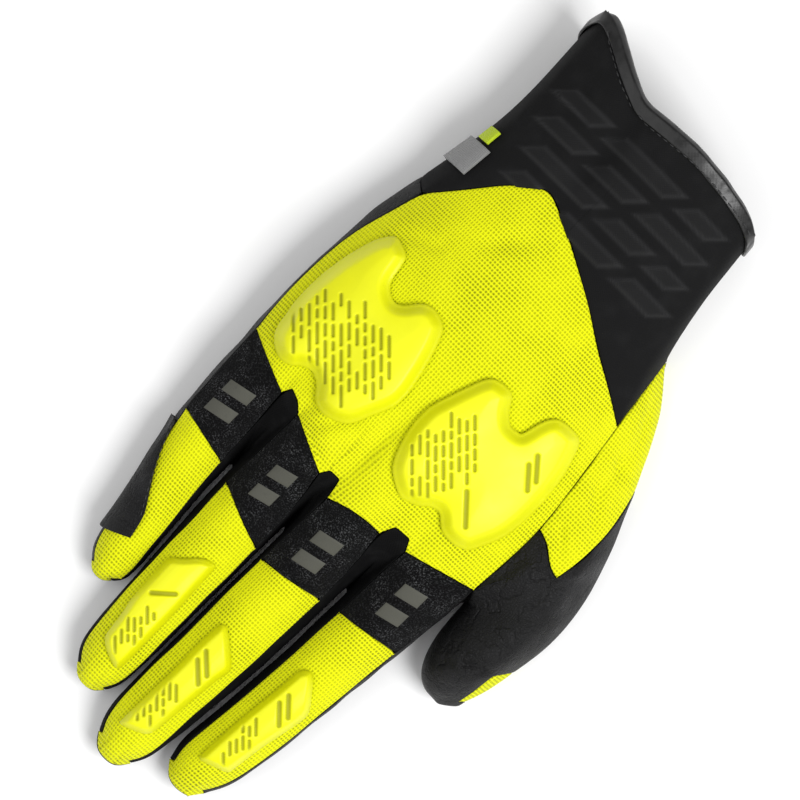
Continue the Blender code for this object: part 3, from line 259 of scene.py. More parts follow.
def knit_paint():
    """Open knit: rows of small raised loops, with shade painted into the hollows between them."""
    tint = colours()
    paint = Paint("knit", tint.knit, 0.80, specular_ior_level=0.12, sheen_weight=0.03,
                  sheen_roughness=0.5)
    place, across, along = paint.cloth_place()
    wobble = (paint.noise(place, 0.35, 2.0) - 0.5) * 0.55
    turn_across = (across + wobble) * (2.0 * math.pi / (sizes().wale / MM))
    turn_along = (along + wobble * 0.8) * (2.0 * math.pi / (sizes().course / MM))
    dip_across = 0.5 - turn_across.cosine() * 0.5
    dip_along = 0.5 - turn_along.cosine() * 0.5
    hollow = (dip_across * dip_along).power(1.15)
    furrow = dip_along * 0.40 + dip_across * 0.06
    fields = paint.noise(place, 0.045, 3.0, 0.6).smooth(0.30, 0.72)
    depth = (hollow * 0.78 + furrow) * (0.28 + fields * 0.54)
    fibre = paint.noise(place, 4.0, 2.0)
    worn = paint.noise(place, 0.09, 3.0).smooth(0.45, 0.8)
    shade = depth + (fibre - 0.5) * 0.16 + worn * 0.06
    # Painted shade: hollows and furrows blend towards the olive shade colour, stronger in noise
    # fields; fibre and worn add random tone.
    paint.colour(paint.blend(shade.smooth(0.02, 1.10), tint.knit, tint.knit_hollow_shade))
    paint.rough(0.74 + hollow * 0.16)
    paint.relief(1.0 - hollow - dip_along * 0.35 + fibre * 0.15, 0.00032, 0.9)
    return paint.material


def fuzz_paint():
    """Black looped cloth with pale specks where fibres catch the light."""
    tint = colours()
    paint = Paint("looped_band", tint.fuzz, 0.95, specular_ior_level=0.06, sheen_weight=0.02,
                  sheen_roughness=0.6)
    place, _across, _along = paint.cloth_place()
    tufts = paint.cells(place, 1.5)
    fibres_and_glint = paint.noise(place, 2.1, 4.0, 0.7)
    patches = paint.noise(place, 0.16, 3.0).smooth(0.40, 0.68)
    glint_specks = fibres_and_glint.smooth(0.50, 0.66) * (0.25 + patches * 0.75)
    # Painted highlight: pale specks where fibres catch the light, thinned out by the noise
    # patches.
    paint.colour(paint.blend(glint_specks, tint.fuzz, (0.085, 0.087, 0.090)))
    paint.relief(fibres_and_glint + tufts * -0.6, 0.00045, 0.9)
    return paint.material


def leather_paint():
    """Black leather with fine grain, creases and slightly shiny worn places."""
    tint = colours()
    paint = Paint("black_leather", tint.leather, 0.50, specular_ior_level=0.22)
    place, _across, _along = paint.cloth_place()
    pebble = paint.cells(place, 1.25, "DISTANCE_TO_EDGE")
    fine = paint.noise(place, 3.0, 3.0)
    wear = paint.noise(place, 0.07, 3.0).smooth(0.48, 0.74)
    paint.colour(paint.blend(wear * 0.55 + fine * 0.15, tint.leather, (0.012, 0.012, 0.013)))
    paint.rough(0.56 - wear * 0.14 + fine * 0.08)
    lines = (paint.noise(place, 0.16, 3.0) - 0.5).absolute().smooth(0.0, 0.05)
    paint.relief(pebble.smooth(0.0, 0.22) * 0.5 + fine * 0.2 + lines * 1.1, 0.00026, 0.8)
    return paint.material


def side_paint():
    """Smooth black stretch cloth of the walls between the fingers."""
    tint = colours()
    paint = Paint("side_cloth", tint.leather, 0.85, specular_ior_level=0.08)
    place, across, along = paint.cloth_place()
    weave = (across * 7.5).cosine() * (along * 7.5).cosine()
    haze = paint.noise(place, 0.2, 2.0).smooth(0.4, 0.8)
    paint.colour(paint.blend(haze * 0.5 + (weave + 1.0) * 0.08, tint.leather,
                             (0.010, 0.010, 0.0105)))
    paint.relief(weave, 0.00008, 0.6)
    return paint.material


def neoprene_paint():
    """Matte stretch cloth over foam: very fine jersey, slightly dusty."""
    tint = colours()
    paint = Paint("stretch_cuff", tint.neoprene, 0.86, specular_ior_level=0.10,
                  sheen_weight=0.01)
    place, across, along = paint.cloth_place()
    jersey = (across * 9.0).cosine() * (along * 8.0).cosine()
    dust = paint.noise(place, 0.12, 4.0).smooth(0.42, 0.78)
    grit = paint.noise(place, 2.4, 2.0)
    raised = paint.number("raised")
    rim = paint.number("rim")
    base = paint.blend(dust * 0.35 + grit * 0.15, tint.neoprene, (0.014, 0.014, 0.0145))
    ridge = paint.blend(raised * 0.45, base, (0.0125, 0.0125, 0.013))
    paint.colour(paint.blend(rim * 0.6, ridge, (0.030, 0.030, 0.031)))
    paint.rough(0.84 - raised * 0.14)
    paint.relief(jersey * 0.6 + grit * 0.8, 0.00009, 0.7)
    return paint.material


def binding_paint():
    """Glossy folded strip with a lengthwise grain."""
    tint = colours()
    paint = Paint("cuff_edge", tint.binding, 0.40, specular_ior_level=0.35)
    place, across, along = paint.cloth_place()
    grain = (across * 5.0).cosine() * (along * 5.0).cosine()
    dull = paint.noise(place, 0.35, 3.0).smooth(0.4, 0.7)
    paint.colour(paint.blend(dull * 0.5, tint.binding, (0.016, 0.016, 0.0165)))
    paint.rough(0.30 + dull * 0.22)
    paint.relief(grain, 0.00002, 0.2)
    return paint.material


def mould_paint():
    """Moulded yellow rubber: satin, a little cloudy, with painted shade in the sunk dashes and on
    the sloped border.
    """
    tint = colours()
    paint = Paint("moulded_guard", tint.mould, 0.40, specular_ior_level=0.30)
    place, _across, _along = paint.cloth_place()
    groove = paint.number("groove")
    slope = paint.number("slope")
    cloud = paint.noise(place, 0.11, 3.0).smooth(0.35, 0.75)
    grain = paint.noise(place, 3.2, 2.0)
    # Painted shade: the sloped border of a guard is darkened, with a random cloudy tone on top.
    shade = paint.blend(cloud * 0.16 + slope * 0.55, tint.mould, (0.56, 0.58, 0.002))
    # Painted shade: the sunk dashes take the dash shade colour.
    paint.colour(paint.blend(groove, shade, tint.mould_dash_shade))
    paint.rough(0.40 + cloud * 0.08 + groove * 0.2)
    paint.relief(grain, 0.00006, 0.5)
    return paint.material


def badge_paint(name, colour, pale):
    """Woven label with fine ribs."""
    paint = Paint(name, colour, 0.62, specular_ior_level=0.35)
    place, across, along = paint.cloth_place()
    rib = (along * 11.0).cosine() * 0.5 + (across * 11.0).cosine() * 0.25
    mottle = paint.noise(place, 0.6, 3.0)
    paint.colour(paint.blend(mottle * 0.6 + rib * 0.12, colour, pale))
    paint.relief(rib, 0.0001, 0.8)
    return paint.material


def print_paint():
    """Reflective gray print with tiny beads."""
    paint = Paint("reflective_print", (0.070, 0.070, 0.058), 0.6, specular_ior_level=0.2)
    place, _across, _along = paint.cloth_place()
    beads = paint.cells(place, 3.2)
    worn = paint.noise(place, 0.5, 3.0).smooth(0.55, 0.8)
    paint.colour(paint.blend(worn * 0.35 + beads * 0.2, (0.078, 0.078, 0.064),
                             (0.045, 0.045, 0.038)))
    paint.relief(beads, 0.00006, 0.6)
    return paint.material


def thread_paint(name, colour):
    """Plain sewing thread."""
    return Paint(name, colour, 0.55, specular_ior_level=0.4).material


def work_mesh(node):
    """Copy of a CAD node's mesh with its corners joined and its triangles paired to quads."""
    work = bmesh.new()
    work.from_mesh(NODES[node].data)
    bmesh.ops.remove_doubles(work, verts=work.verts[:], dist=1e-6)
    bmesh.ops.join_triangles(work, faces=work.faces[:], cmp_seam=False, cmp_sharp=False,
                             cmp_uvs=False, cmp_materials=False,
                             angle_face_threshold=math.radians(55.0),
                             angle_shape_threshold=math.radians(75.0))
    bmesh.ops.recalc_face_normals(work, faces=work.faces[:])
    return work


RIM_ANGLE = math.radians(50.0)
CORNER_TURN = math.radians(38.0)


def crease_rims(work, sharpness):
    """Keeps the rims of a panel in place, so that neighbours still meet at their seams."""
    edges = work.edges.layers.float.get("crease_edge")
    edges = edges or work.edges.layers.float.new("crease_edge")
    corners = work.verts.layers.float.get("crease_vert")
    corners = corners or work.verts.layers.float.new("crease_vert")
    rims = {}
    for edge in work.edges:
        if len(edge.link_faces) == 2 and edge.calc_face_angle(0.0) > RIM_ANGLE:
            edge[edges] = sharpness
            for corner in edge.verts:
                rims.setdefault(corner, []).append(edge)
    for corner, around in rims.items():
        if len(around) != 2:
            corner[corners] = 1.0 if len(around) > 2 else 0.0
            continue
        first = around[0].other_vert(corner).co - corner.co
        second = around[1].other_vert(corner).co - corner.co
        if first.length > 0.0 and second.length > 0.0:
            if math.pi - first.angle(second, 0.0) > CORNER_TURN:
                corner[corners] = 1.0


def smooth_copy(node, name, levels, sharpness=0.45):
    """Object with the CAD node's form, subdivided into a smooth skin."""
    work = work_mesh(node)
    crease_rims(work, sharpness)
    mesh = bpy.data.meshes.new(name)
    work.to_mesh(mesh)
    work.free()
    body = bpy.data.objects.new(name, mesh)
    bpy.context.scene.collection.objects.link(body)
    step = body.modifiers.new("smooth", "SUBSURF")
    step.levels = levels
    step.render_levels = levels
    step.boundary_smooth = "PRESERVE_CORNERS"
    return bake(body)


def bake(body):
    """Replaces the object's mesh by what its modifiers make of it."""
    bpy.context.view_layer.update()
    held = bpy.context.evaluated_depsgraph_get()
    mesh = bpy.data.meshes.new_from_object(body.evaluated_get(held), depsgraph=held)
    old = body.data
    body.modifiers.clear()
    body.data = mesh
    mesh.name = body.name
    bpy.data.meshes.remove(old)
    mesh.polygons.foreach_set("use_smooth", [True] * len(mesh.polygons))
    return body


def points_of(body):
    """Corner points of the piece, one row each."""
    flat = np.empty(len(body.data.vertices) * 3, np.float32)
    body.data.vertices.foreach_get("co", flat)
    return flat.reshape(-1, 3).astype(np.float64)


def normals_of(body):
    """Normals at the corner points, one row each."""
    flat = np.empty(len(body.data.vertices) * 3, np.float32)
    body.data.vertex_normals.foreach_get("vector", flat)
    return flat.reshape(-1, 3).astype(np.float64)


def set_points(body, points):
    """Moves the corner points of the piece."""
    body.data.vertices.foreach_set("co", points.astype(np.float32).ravel())
    body.data.update()


def set_number(body, name, values):
    """Keeps one number a corner, for the paints."""
    layer = body.data.attributes.new(name, "FLOAT", "POINT")
    layer.data.foreach_set("value", np.asarray(values, np.float32))


def set_cloth(body, across, along, third):
    """Keeps the place on the cloth in millimetres, for the paints."""
    layer = body.data.attributes.new("cloth", "FLOAT_VECTOR", "POINT")
    place = np.stack([across, along, third], axis=1) / MM
    layer.data.foreach_set("vector", place.astype(np.float32).ravel())


def cloth_round_tube(body):
    """Cloth place on a finger: arc from the ridge across, length along +Y."""
    points = points_of(body)
    x, y, z = points.T
    low, high = y.min(), y.max()
    bins = np.linspace(low, high, 9)
    middles, centres, tops = [], [], []
    for start, end in zip(bins, bins[1:]):
        here = (y >= start) & (y <= end)
        if here.sum() > 4:
            middles.append((start + end) / 2.0)
            centres.append((x[here].min() + x[here].max()) / 2.0)
            tops.append(z[here].max())
    degree = min(3, len(middles) - 1)
    centre = np.polyval(np.polyfit(middles, centres, degree), y)
    top = np.polyval(np.polyfit(middles, tops, degree), y)
    side = x - centre
    drop = np.maximum(top - z, 0.0)
    arc = np.sign(side) * np.sqrt(side * side + np.where(np.abs(side) > 3 * MM, drop, 0.0) ** 2)
    set_cloth(body, arc + centre.mean(), y, z)


def cloth_flat(body, lift=0.55):
    """Cloth place on a broad panel: plan place, with the slopes let out a little."""
    points = points_of(body)
    x, y, z = points.T
    top = z.max()
    arc = x + np.sign(x) * np.maximum(top - z - 2 * MM, 0.0) * lift
    set_cloth(body, arc, y, z)


def finish_piece(body, paint, slot, *replaced):
    """Paints the piece and enters it in the table of pieces."""
    body.data.materials.clear()
    body.data.materials.append(paint)
    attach(body, "root")
    if replaced:
        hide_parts(*replaced)
    MADE[body.name] = body
    return body


def soft_noise(points, wave, seed):
    """Smooth value from -1 to 1 at each point, from a few crossing waves."""
    draw = random.Random(seed)
    total = np.zeros(len(points))
    for _ in range(6):
        way = np.array([draw.uniform(-1, 1) for _ in range(3)])
        way /= np.linalg.norm(way)
        length = wave * draw.uniform(0.7, 1.5)
        total += np.sin(points @ way * (2.0 * math.pi / length) + draw.uniform(0, 2 * math.pi))
    return total / 6.0


def crumple(body, wave, depth, seed):
    """Gentle unevenness of worn cloth, none where the piece lies on the floor."""
    points = points_of(body)
    normals = normals_of(body)
    move = soft_noise(points, wave, seed) * depth
    move *= np.clip((points[:, 2] - 2 * MM) / (4 * MM), 0.0, 1.0)
    set_points(body, points + normals * move[:, None])


def fold(points, start, end, reach, depth):
    """Depth of one fold, a rounded trough along a line in plan, at each point."""
    a = np.array(start) * MM
    b = np.array(end) * MM
    span = b - a
    share = np.clip(((points[:, :2] - a) @ span) / (span @ span), 0.0, 1.0)
    away = np.linalg.norm(points[:, :2] - (a + share[:, None] * span), axis=1) / (reach * MM)
    taper = np.sin(np.pi * np.clip(share, 0.02, 0.98)) ** 0.7
    return depth * MM * np.exp(-away * away) * taper


# One fold a row: start and end in plan, reach to each side and depth, in millimetres.
GUSSET_FOLDS = (
    ((-66, 0), (-57, -8), 1.6, 0.7), ((-67, -12), (-56, -26), 1.8, 0.8),
    ((-63, -28), (-55, -36), 1.6, 0.7), ((-58, -40), (-52, -54), 1.5, 0.6),
    ((-60, -18), (-58, -44), 2.0, 0.5))
BACK_FOLDS = (
    ((14, 24), (2, 10), 2.2, 0.7), ((-4, 26), (-4, 4), 2.6, 0.8), ((2, 30), (14, 26), 2.0, 0.8),
    ((-52, 20), (-50, 12), 2.0, 0.5), ((-46, -38), (-28, -44), 3.0, 0.5),
    ((20, -40), (36, -34), 2.4, 0.6), ((4, -60), (18, -46), 3.0, 0.5))
THUMB_FOLDS = (
    ((-75.5, 37), (-65, 42), 1.3, 1.0), ((-66, 43), (-60, 46), 1.4, 0.5),
    ((-78, 12), (-68, 20), 2.6, 0.6), ((-77, -2), (-70, 6), 2.4, 0.6),
    ((-58, 4), (-56, 20), 2.0, 0.5), ((-72, -12), (-68, 2), 1.8, 0.4))
CUFF_FOLDS = (
    ((9, -74), (10, -112), 5.0, 1.2), ((12, -90), (34, -104), 4.0, 0.8),
    ((-40, -80), (-30, -104), 5.0, 0.5))


FOLD_SCALE = 1.7


def press_folds(body, folds):
    """Presses folds into the upper side of a piece."""
    points = points_of(body)
    normals = normals_of(body)
    upward = np.clip(normals[:, 2:3] * 1.4, 0.0, 1.0)
    total = np.zeros(len(points))
    for start, end, reach, depth in folds:
        total += fold(points, start, end, reach, depth) * FOLD_SCALE
    set_points(body, points - normals * upward * total[:, None])


def outline_of(node):
    """Plan outline of a moulded guard, in order, from its upright wall."""
    work = bmesh.new()
    work.from_mesh(NODES[node].data)
    bmesh.ops.remove_doubles(work, verts=work.verts[:], dist=1e-6)
    after = {}
    for face in work.faces:
        if abs(face.normal.z) > 0.25:
            continue
        for edge in face.edges:
            one, two = edge.verts
            flat = (one.co.xy - two.co.xy).length
            if flat < 1e-6:
                continue
            others = [other for other in edge.link_faces if other is not face]
            if others and others[0].normal.z > 0.25:
                after.setdefault(one.index, set()).add(two.index)
                after.setdefault(two.index, set()).add(one.index)
    work.verts.ensure_lookup_table()
    start = min(after)
    loop = [start]
    before = None
    while True:
        ways = [n for n in after[loop[-1]] if n != before]
        step = ways[0]
        if step == start or len(loop) > len(after):
            break
        before = loop[-1]
        loop.append(step)
    spots = np.array([tuple(work.verts[n].co.xy) for n in loop])
    work.free()
    return spots


def closed_curve(spots, parts):
    """Smooth closed curve through the spots."""
    count = len(spots)
    result = []
    for k in range(count):
        p0, p1, p2, p3 = (spots[(k + d) % count] for d in (-1, 0, 1, 2))
        for i in range(parts):
            t = i / parts
            result.append(0.5 * (2 * p1 + (p2 - p0) * t + (2 * p0 - 5 * p1 + 4 * p2 - p3) * t * t
                                 + (3 * p1 - p0 - 3 * p2 + p3) * t ** 3))
    return np.array(result)


def loop_distance(loop, spots):
    """Distance from each spot to the closed loop, nearest place, and which spots lie inside."""
    best = np.full(len(spots), 1e9)
    near = np.zeros_like(spots)
    within = np.zeros(len(spots), bool)
    for a, b in zip(loop, np.roll(loop, -1, axis=0)):
        span = b - a
        share = np.clip(((spots - a) @ span) / max(span @ span, 1e-18), 0.0, 1.0)
        place = a + share[:, None] * span
        away = np.linalg.norm(spots - place, axis=1)
        closer = away < best
        best[closer] = away[closer]
        near[closer] = place[closer]
        if a[1] != b[1]:
            crosses = (a[1] > spots[:, 1]) != (b[1] > spots[:, 1])
            where = span[0] * (spots[:, 1] - a[1]) / span[1] + a[0]
            within ^= crosses & (spots[:, 0] < where)
    return best, near, within


def smoothstep(value):
    """Soft step from 0 to 1."""
    value = np.clip(value, 0.0, 1.0)
    return value * value * (3.0 - 2.0 * value)


def dash_depth(spots, dashes, width):
    """Share of full depth at each spot, from sunk dashes given by their two ends in mm."""
    groove = np.zeros(len(spots))
    for ax, ay, bx, by, scale in dashes:
        a = np.array((ax, ay)) * MM
        b = np.array((bx, by)) * MM
        span = b - a
        share = np.clip(((spots - a) @ span) / (span @ span), 0.0, 1.0)
        away = np.linalg.norm(spots - (a + share[:, None] * span), axis=1)
        half = width * scale / 2.0
        groove = np.maximum(groove, 1.0 - smoothstep((away - half * 0.55) / (half * 0.75)))
    return groove


def dash_field(centre, reach, pitch, run, seed, tilt=-45.0, fade=0.0):
    """Staggered dashes in an oval field; all run the same way."""
    draw = random.Random(seed)
    way = np.array((math.cos(math.radians(tilt)), math.sin(math.radians(tilt))))
    side = np.array((-way[1], way[0]))
    dashes = []
    rows = int(max(reach) / pitch) + 1
    for row in range(-rows, rows + 1):
        at = -max(reach) * 1.2 + draw.uniform(0.0, run)
        while at < max(reach) * 1.2:
            length = run * draw.choice((0.45, 0.7, 1.0, 1.0, 1.3))
            middle = np.array(centre) + side * row * pitch + way * (at + length / 2.0)
            far = ((middle[0] - centre[0]) / reach[0]) ** 2
            far += ((middle[1] - centre[1]) / reach[1]) ** 2
            if far < 1.0 and draw.random() > fade * far:
                one = middle - way * length / 2.0
                two = middle + way * length / 2.0
                dashes.append((one[0], one[1], two[0], two[1], 1.0))
            at += length + run * 0.42
    return dashes


GUARD_DASHES = {
    "knuckle_guard_index": (
        [(-39.0, 12.5, -32.0, 5.0, 1.5), (-44.2, -7.5, -39.2, -13.0, 1.5),
         (-44.2, -11.0, -39.2, -16.6, 1.5)]
        + dash_field((-21.0, 3.5), (9.4, 14.2), 2.25, 3.8, 5, fade=0.25)),
    "knuckle_guard_pinky": dash_field((23.0, 1.0), (17.6, 13.0), 2.3, 4.4, 11, fade=0.15),
    "guard_index": (
        [(-42.0, 91.5, -37.2, 86.6, 1.5), (-42.2, 88.0, -37.6, 83.2, 1.5)]
        + dash_field((-37.4, 104.5), (3.0, 8.4), 1.9, 3.6, 3)),
    "guard_middle": (
        [(-17.0, 99.5, -11.6, 94.5, 1.5), (-17.0, 96.0, -11.6, 91.0, 1.5)]
        + dash_field((-12.8, 112.5), (3.0, 8.8), 1.9, 3.6, 8)),
    "guard_ring": (
        [(6.2, 85.7, 11.5, 90.4, 1.5)]
        + dash_field((7.4, 101.5), (3.2, 8.0), 1.9, 3.6, 14))}
KNUCKLE_FORM = {"rim": 1.0, "crown": 4.2, "slope": 3.9, "dome": 0.7}
FINGER_FORM = {"rim": 0.8, "crown": 2.6, "slope": 2.0, "dome": 0.25}
SEAT = 0.3


def tree_of(bodies):
    """Tree of the shown form of some pieces, to look down on."""
    points = []
    faces = []
    for body in bodies:
        start = len(points)
        points += [vertex.co.copy() for vertex in body.data.vertices]
        faces += [tuple(start + n for n in face.vertices) for face in body.data.polygons]
    return BVHTree.FromPolygons(points, faces)


def look_down(tree, spots, missing):
    """Height of what lies below each spot, or the missing value."""
    heights = np.empty(len(spots))
    down = Vector((0.0, 0.0, -1.0))
    for k, (x, y) in enumerate(spots):
        hit = tree.ray_cast(Vector((x, y, 0.2)), down)
        heights[k] = hit[0].z if hit[0] is not None else missing
    return heights


def carried_height(tree, spots, missing):
    """Height of what carries a guard, from a coarse grid of looks down, made smooth."""
    low = spots.min(axis=0) - 4 * MM
    high = spots.max(axis=0) + 4 * MM
    cell = 1.5 * MM
    nx, ny = (int((high[i] - low[i]) / cell) + 2 for i in (0, 1))
    gx = low[0] + np.arange(nx) * cell
    gy = low[1] + np.arange(ny) * cell
    grid = np.array([(x, y) for y in gy for x in gx])
    heights = look_down(tree, grid, np.nan).reshape(ny, nx)
    for _ in range(30):
        empty = np.isnan(heights)
        if not empty.any():
            break
        padded = np.pad(heights, 1, constant_values=np.nan)
        around = np.stack([padded[1:-1, :-2], padded[1:-1, 2:], padded[:-2, 1:-1],
                           padded[2:, 1:-1]])
        known = (~np.isnan(around)).sum(axis=0)
        total = np.nansum(around, axis=0)
        ready = empty & (known > 0)
        heights[ready] = total[ready] / known[ready]
    if np.isnan(heights).any():
        heights[np.isnan(heights)] = missing
    tall = heights.copy()
    for _ in range(3):
        padded = np.pad(heights, 1, mode="edge")
        heights = (padded[1:-1, 1:-1] * 2 + padded[1:-1, :-2] + padded[1:-1, 2:]
                   + padded[:-2, 1:-1] + padded[2:, 1:-1]) / 6.0
    heights = np.maximum(heights, tall)
    u = (spots[:, 0] - low[0]) / cell
    v = (spots[:, 1] - low[1]) / cell
    i = np.clip(u.astype(int), 0, nx - 2)
    j = np.clip(v.astype(int), 0, ny - 2)
    fu, fv = u - i, v - j
    return ((heights[j, i] * (1 - fu) + heights[j, i + 1] * fu) * (1 - fv)
            + (heights[j + 1, i] * (1 - fu) + heights[j + 1, i + 1] * fu) * fv)


def build_guard(node, tree, form, paint):
    """Moulded guard: fine grid inside the outline, sloped border, domed top, sunk dashes."""
    loop = closed_curve(outline_of(node), 5)
    cell = sizes().mould_cell
    low = loop.min(axis=0) - cell
    high = loop.max(axis=0) + cell
    nx, ny = (int((high[i] - low[i]) / cell) + 1 for i in (0, 1))
    spots = np.array([(low[0] + i * cell, low[1] + j * cell)
                      for j in range(ny + 1) for i in range(nx + 1)])
    away, near, within = loop_distance(loop, spots)
    kept = within & (away > cell * 0.25)
    quads = []
    for j in range(ny):
        for i in range(nx):
            a = j * (nx + 1) + i
            corners = (a, a + 1, a + nx + 2, a + nx + 1)
            if all(kept[c] for c in corners):
                quads.append(corners)
    edges = {}
    for quad in quads:
        for k in range(4):
            edges[quad[k], quad[(k + 1) % 4]] = True
    border = [pair for pair in edges if (pair[1], pair[0]) not in edges]
    rim = {n for pair in border for n in pair}
    for n in rim:
        spots[n] = near[n]
        away[n] = 0.0
    used = sorted({n for quad in quads for n in quad})
    number = {n: k for k, n in enumerate(used)}
    plan_spots = spots[used]
    depth_in = away[used] / MM
    base = carried_height(tree, plan_spots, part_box(node)[0][2])
    slope = smoothstep(depth_in / form["slope"])
    dome = 1.0 - np.exp(-np.maximum(depth_in - form["slope"], 0.0) / 5.0)
    groove = dash_depth(plan_spots, GUARD_DASHES[node], sizes().dash_width)
    groove *= smoothstep((depth_in - 1.2) / 1.4)
    tall = form["rim"] + (form["crown"] - form["rim"]) * slope + form["dome"] * dome
    height = base + (SEAT + tall) * MM - groove * sizes().dash_depth
    total = len(used)
    upper = [(x, y, z) for (x, y), z in zip(plan_spots, height)]
    lower = [(x, y, z + SEAT * MM) for (x, y), z in zip(plan_spots, base)]
    faces = [tuple(number[n] for n in quad) for quad in quads]
    faces += [tuple(number[n] + total for n in quad[::-1]) for quad in quads]
    for a, b in border:
        faces.append((number[a], number[a] + total, number[b] + total, number[b]))
    mesh = bpy.data.meshes.new(node + "_moulded")
    mesh.from_pydata(upper + lower, [], faces)
    mesh.update()
    body = bpy.data.objects.new(node + "_moulded", mesh)
    bpy.context.scene.collection.objects.link(body)
    mesh.polygons.foreach_set("use_smooth", [True] * len(faces))
    both = np.concatenate([plan_spots, plan_spots])
    # The groove number also carries painted shade in the dashes.
    set_number(body, "groove", np.concatenate([groove, np.zeros_like(groove)]))
    # The slope number carries painted shade on the sloped border, 1 at the rim.
    sloped = 1.0 - slope
    set_number(body, "slope", np.concatenate([sloped, sloped]))
    set_cloth(body, both[:, 0], both[:, 1], np.concatenate([height, base]))
    return finish_piece(body, paint, "yellow_mould", node)


def side_distance(spots, corners):
    """Signed distance in mm to the nearest side of a convex shape, below 0 inside it."""
    reach = np.full(len(spots), -1e9)
    ring = np.array(corners, float)
    for a, b in zip(ring, np.roll(ring, -1, axis=0)):
        span = (b - a) / np.linalg.norm(b - a)
        outward = np.array((span[1], -span[0]))
        reach = np.maximum(reach, (spots - a) @ outward)
    return reach


def slanted(x, y, width, height, lean):
    """Corners of one slanted rib, counter-clockwise, from its lower left corner in mm."""
    return ((x, y), (x + width, y), (x + width + lean, y + height), (x + lean, y + height))


# One rib a row: x and y of its lower left corner, width, height and lean, in millimetres.
RIBS = (
    (-38.0, -72.0, 15.0, 5.0, 5.0), (-18.0, -72.0, 22.0, 5.0, 5.0), (9.0, -72.0, 12.0, 5.0, 5.0),
    (-36.0, -81.0, 9.0, 5.0, 5.0), (-22.0, -81.0, 14.0, 5.0, 5.0), (-3.0, -81.0, 25.0, 5.0, 5.0),
    (-35.0, -90.0, 20.0, 5.0, 5.0), (-10.0, -90.0, 15.0, 5.0, 5.0), (10.0, -90.0, 15.0, 5.0, 5.0),
    (-34.0, -99.0, 12.0, 5.0, 5.0), (-17.0, -99.0, 24.0, 5.0, 5.0), (12.0, -99.0, 15.0, 5.0, 5.0))


def refine_ribbed_field(body):
    """Halves the faces of the cuff where its ribs stand."""
    work = bmesh.new()
    work.from_mesh(body.data)
    edges = set()
    for face in work.faces:
        spot = face.calc_center_median() / MM
        if face.normal.z > 0.3 and spot.z > 9.0 and -112.0 < spot.y < -64.0:
            edges.update(face.edges)
    bmesh.ops.subdivide_edges(work, edges=list(edges), cuts=1, use_grid_fill=True)
    work.to_mesh(body.data)
    work.free()
    body.data.polygons.foreach_set("use_smooth", [True] * len(body.data.polygons))


def raise_ribs(body):
    """Ribs pressed into the upper side of the cuff, with a pale border each."""
    points = points_of(body)
    normals = normals_of(body)
    spots = points[:, :2] / MM
    upper = (normals[:, 2] > 0.35) & (points[:, 2] > 9 * MM)
    raised = np.zeros(len(points))
    rim = np.zeros(len(points))
    for rib in RIBS:
        reach = side_distance(spots, slanted(*rib))
        raised = np.maximum(raised, smoothstep(-reach / 0.9 + 0.3))
        rim = np.maximum(rim, np.exp(-((reach + 0.2) / 0.55) ** 2))
    raised *= upper
    rim *= upper
    set_points(body, points + normals * (raised * sizes().rib_height)[:, None])
    set_number(body, "raised", raised)
    set_number(body, "rim", rim)


def plan_strip(name, corners, tree, lift, cell, paint, slot):
    """Thin patch over a four-cornered field in plan, a little above what lies below it."""
    a, b, c, d = (np.array(corner, float) * MM for corner in corners)
    across = max(2, int(np.linalg.norm(b - a) / cell))
    along = max(2, int(np.linalg.norm(d - a) / cell))
    spots = []
    for j in range(along + 1):
        v = j / along
        for i in range(across + 1):
            u = i / across
            spots.append((a * (1 - u) + b * u) * (1 - v) + (d * (1 - u) + c * u) * v)
    spots = np.array(spots)
    heights = look_down(tree, spots, np.nan)
    if np.isnan(heights).any():
        raise RuntimeError(name + " reaches past what carries it")
    edge = np.array([(i in (0, across)) or (j in (0, along))
                     for j in range(along + 1) for i in range(across + 1)])
    heights = heights + np.where(edge, lift * 0.3, lift)
    faces = []
    for j in range(along):
        for i in range(across):
            k = j * (across + 1) + i
            faces.append((k, k + 1, k + across + 2, k + across + 1))
    mesh = bpy.data.meshes.new(name)
    mesh.from_pydata([(x, y, z) for (x, y), z in zip(spots, heights)], [], faces)
    mesh.update()
    body = bpy.data.objects.new(name, mesh)
    bpy.context.scene.collection.objects.link(body)
    mesh.polygons.foreach_set("use_smooth", [True] * len(faces))
    set_cloth(body, spots[:, 0], spots[:, 1], heights)
    return finish_piece(body, paint, slot)


def evenly(path, pitch):
    """Points at an even pitch along a polyline in plan, in metres."""
    line = np.array(path, float) * MM
    steps = np.linalg.norm(np.diff(line, axis=0), axis=1)
    run = np.concatenate([[0.0], np.cumsum(steps)])
    places = np.arange(0.0, run[-1], pitch)
    return np.stack([np.interp(places, run, line[:, k]) for k in (0, 1)], axis=1)


STITCH_SIDES = 6
STITCH_SHARE = 0.72
STITCH_SWELL = (0.45, 0.9, 1.0, 0.9, 0.45)
STITCH_SINK = (0.10, 0.55, 0.75, 0.55, 0.10)
STITCH_DROP = 1.6


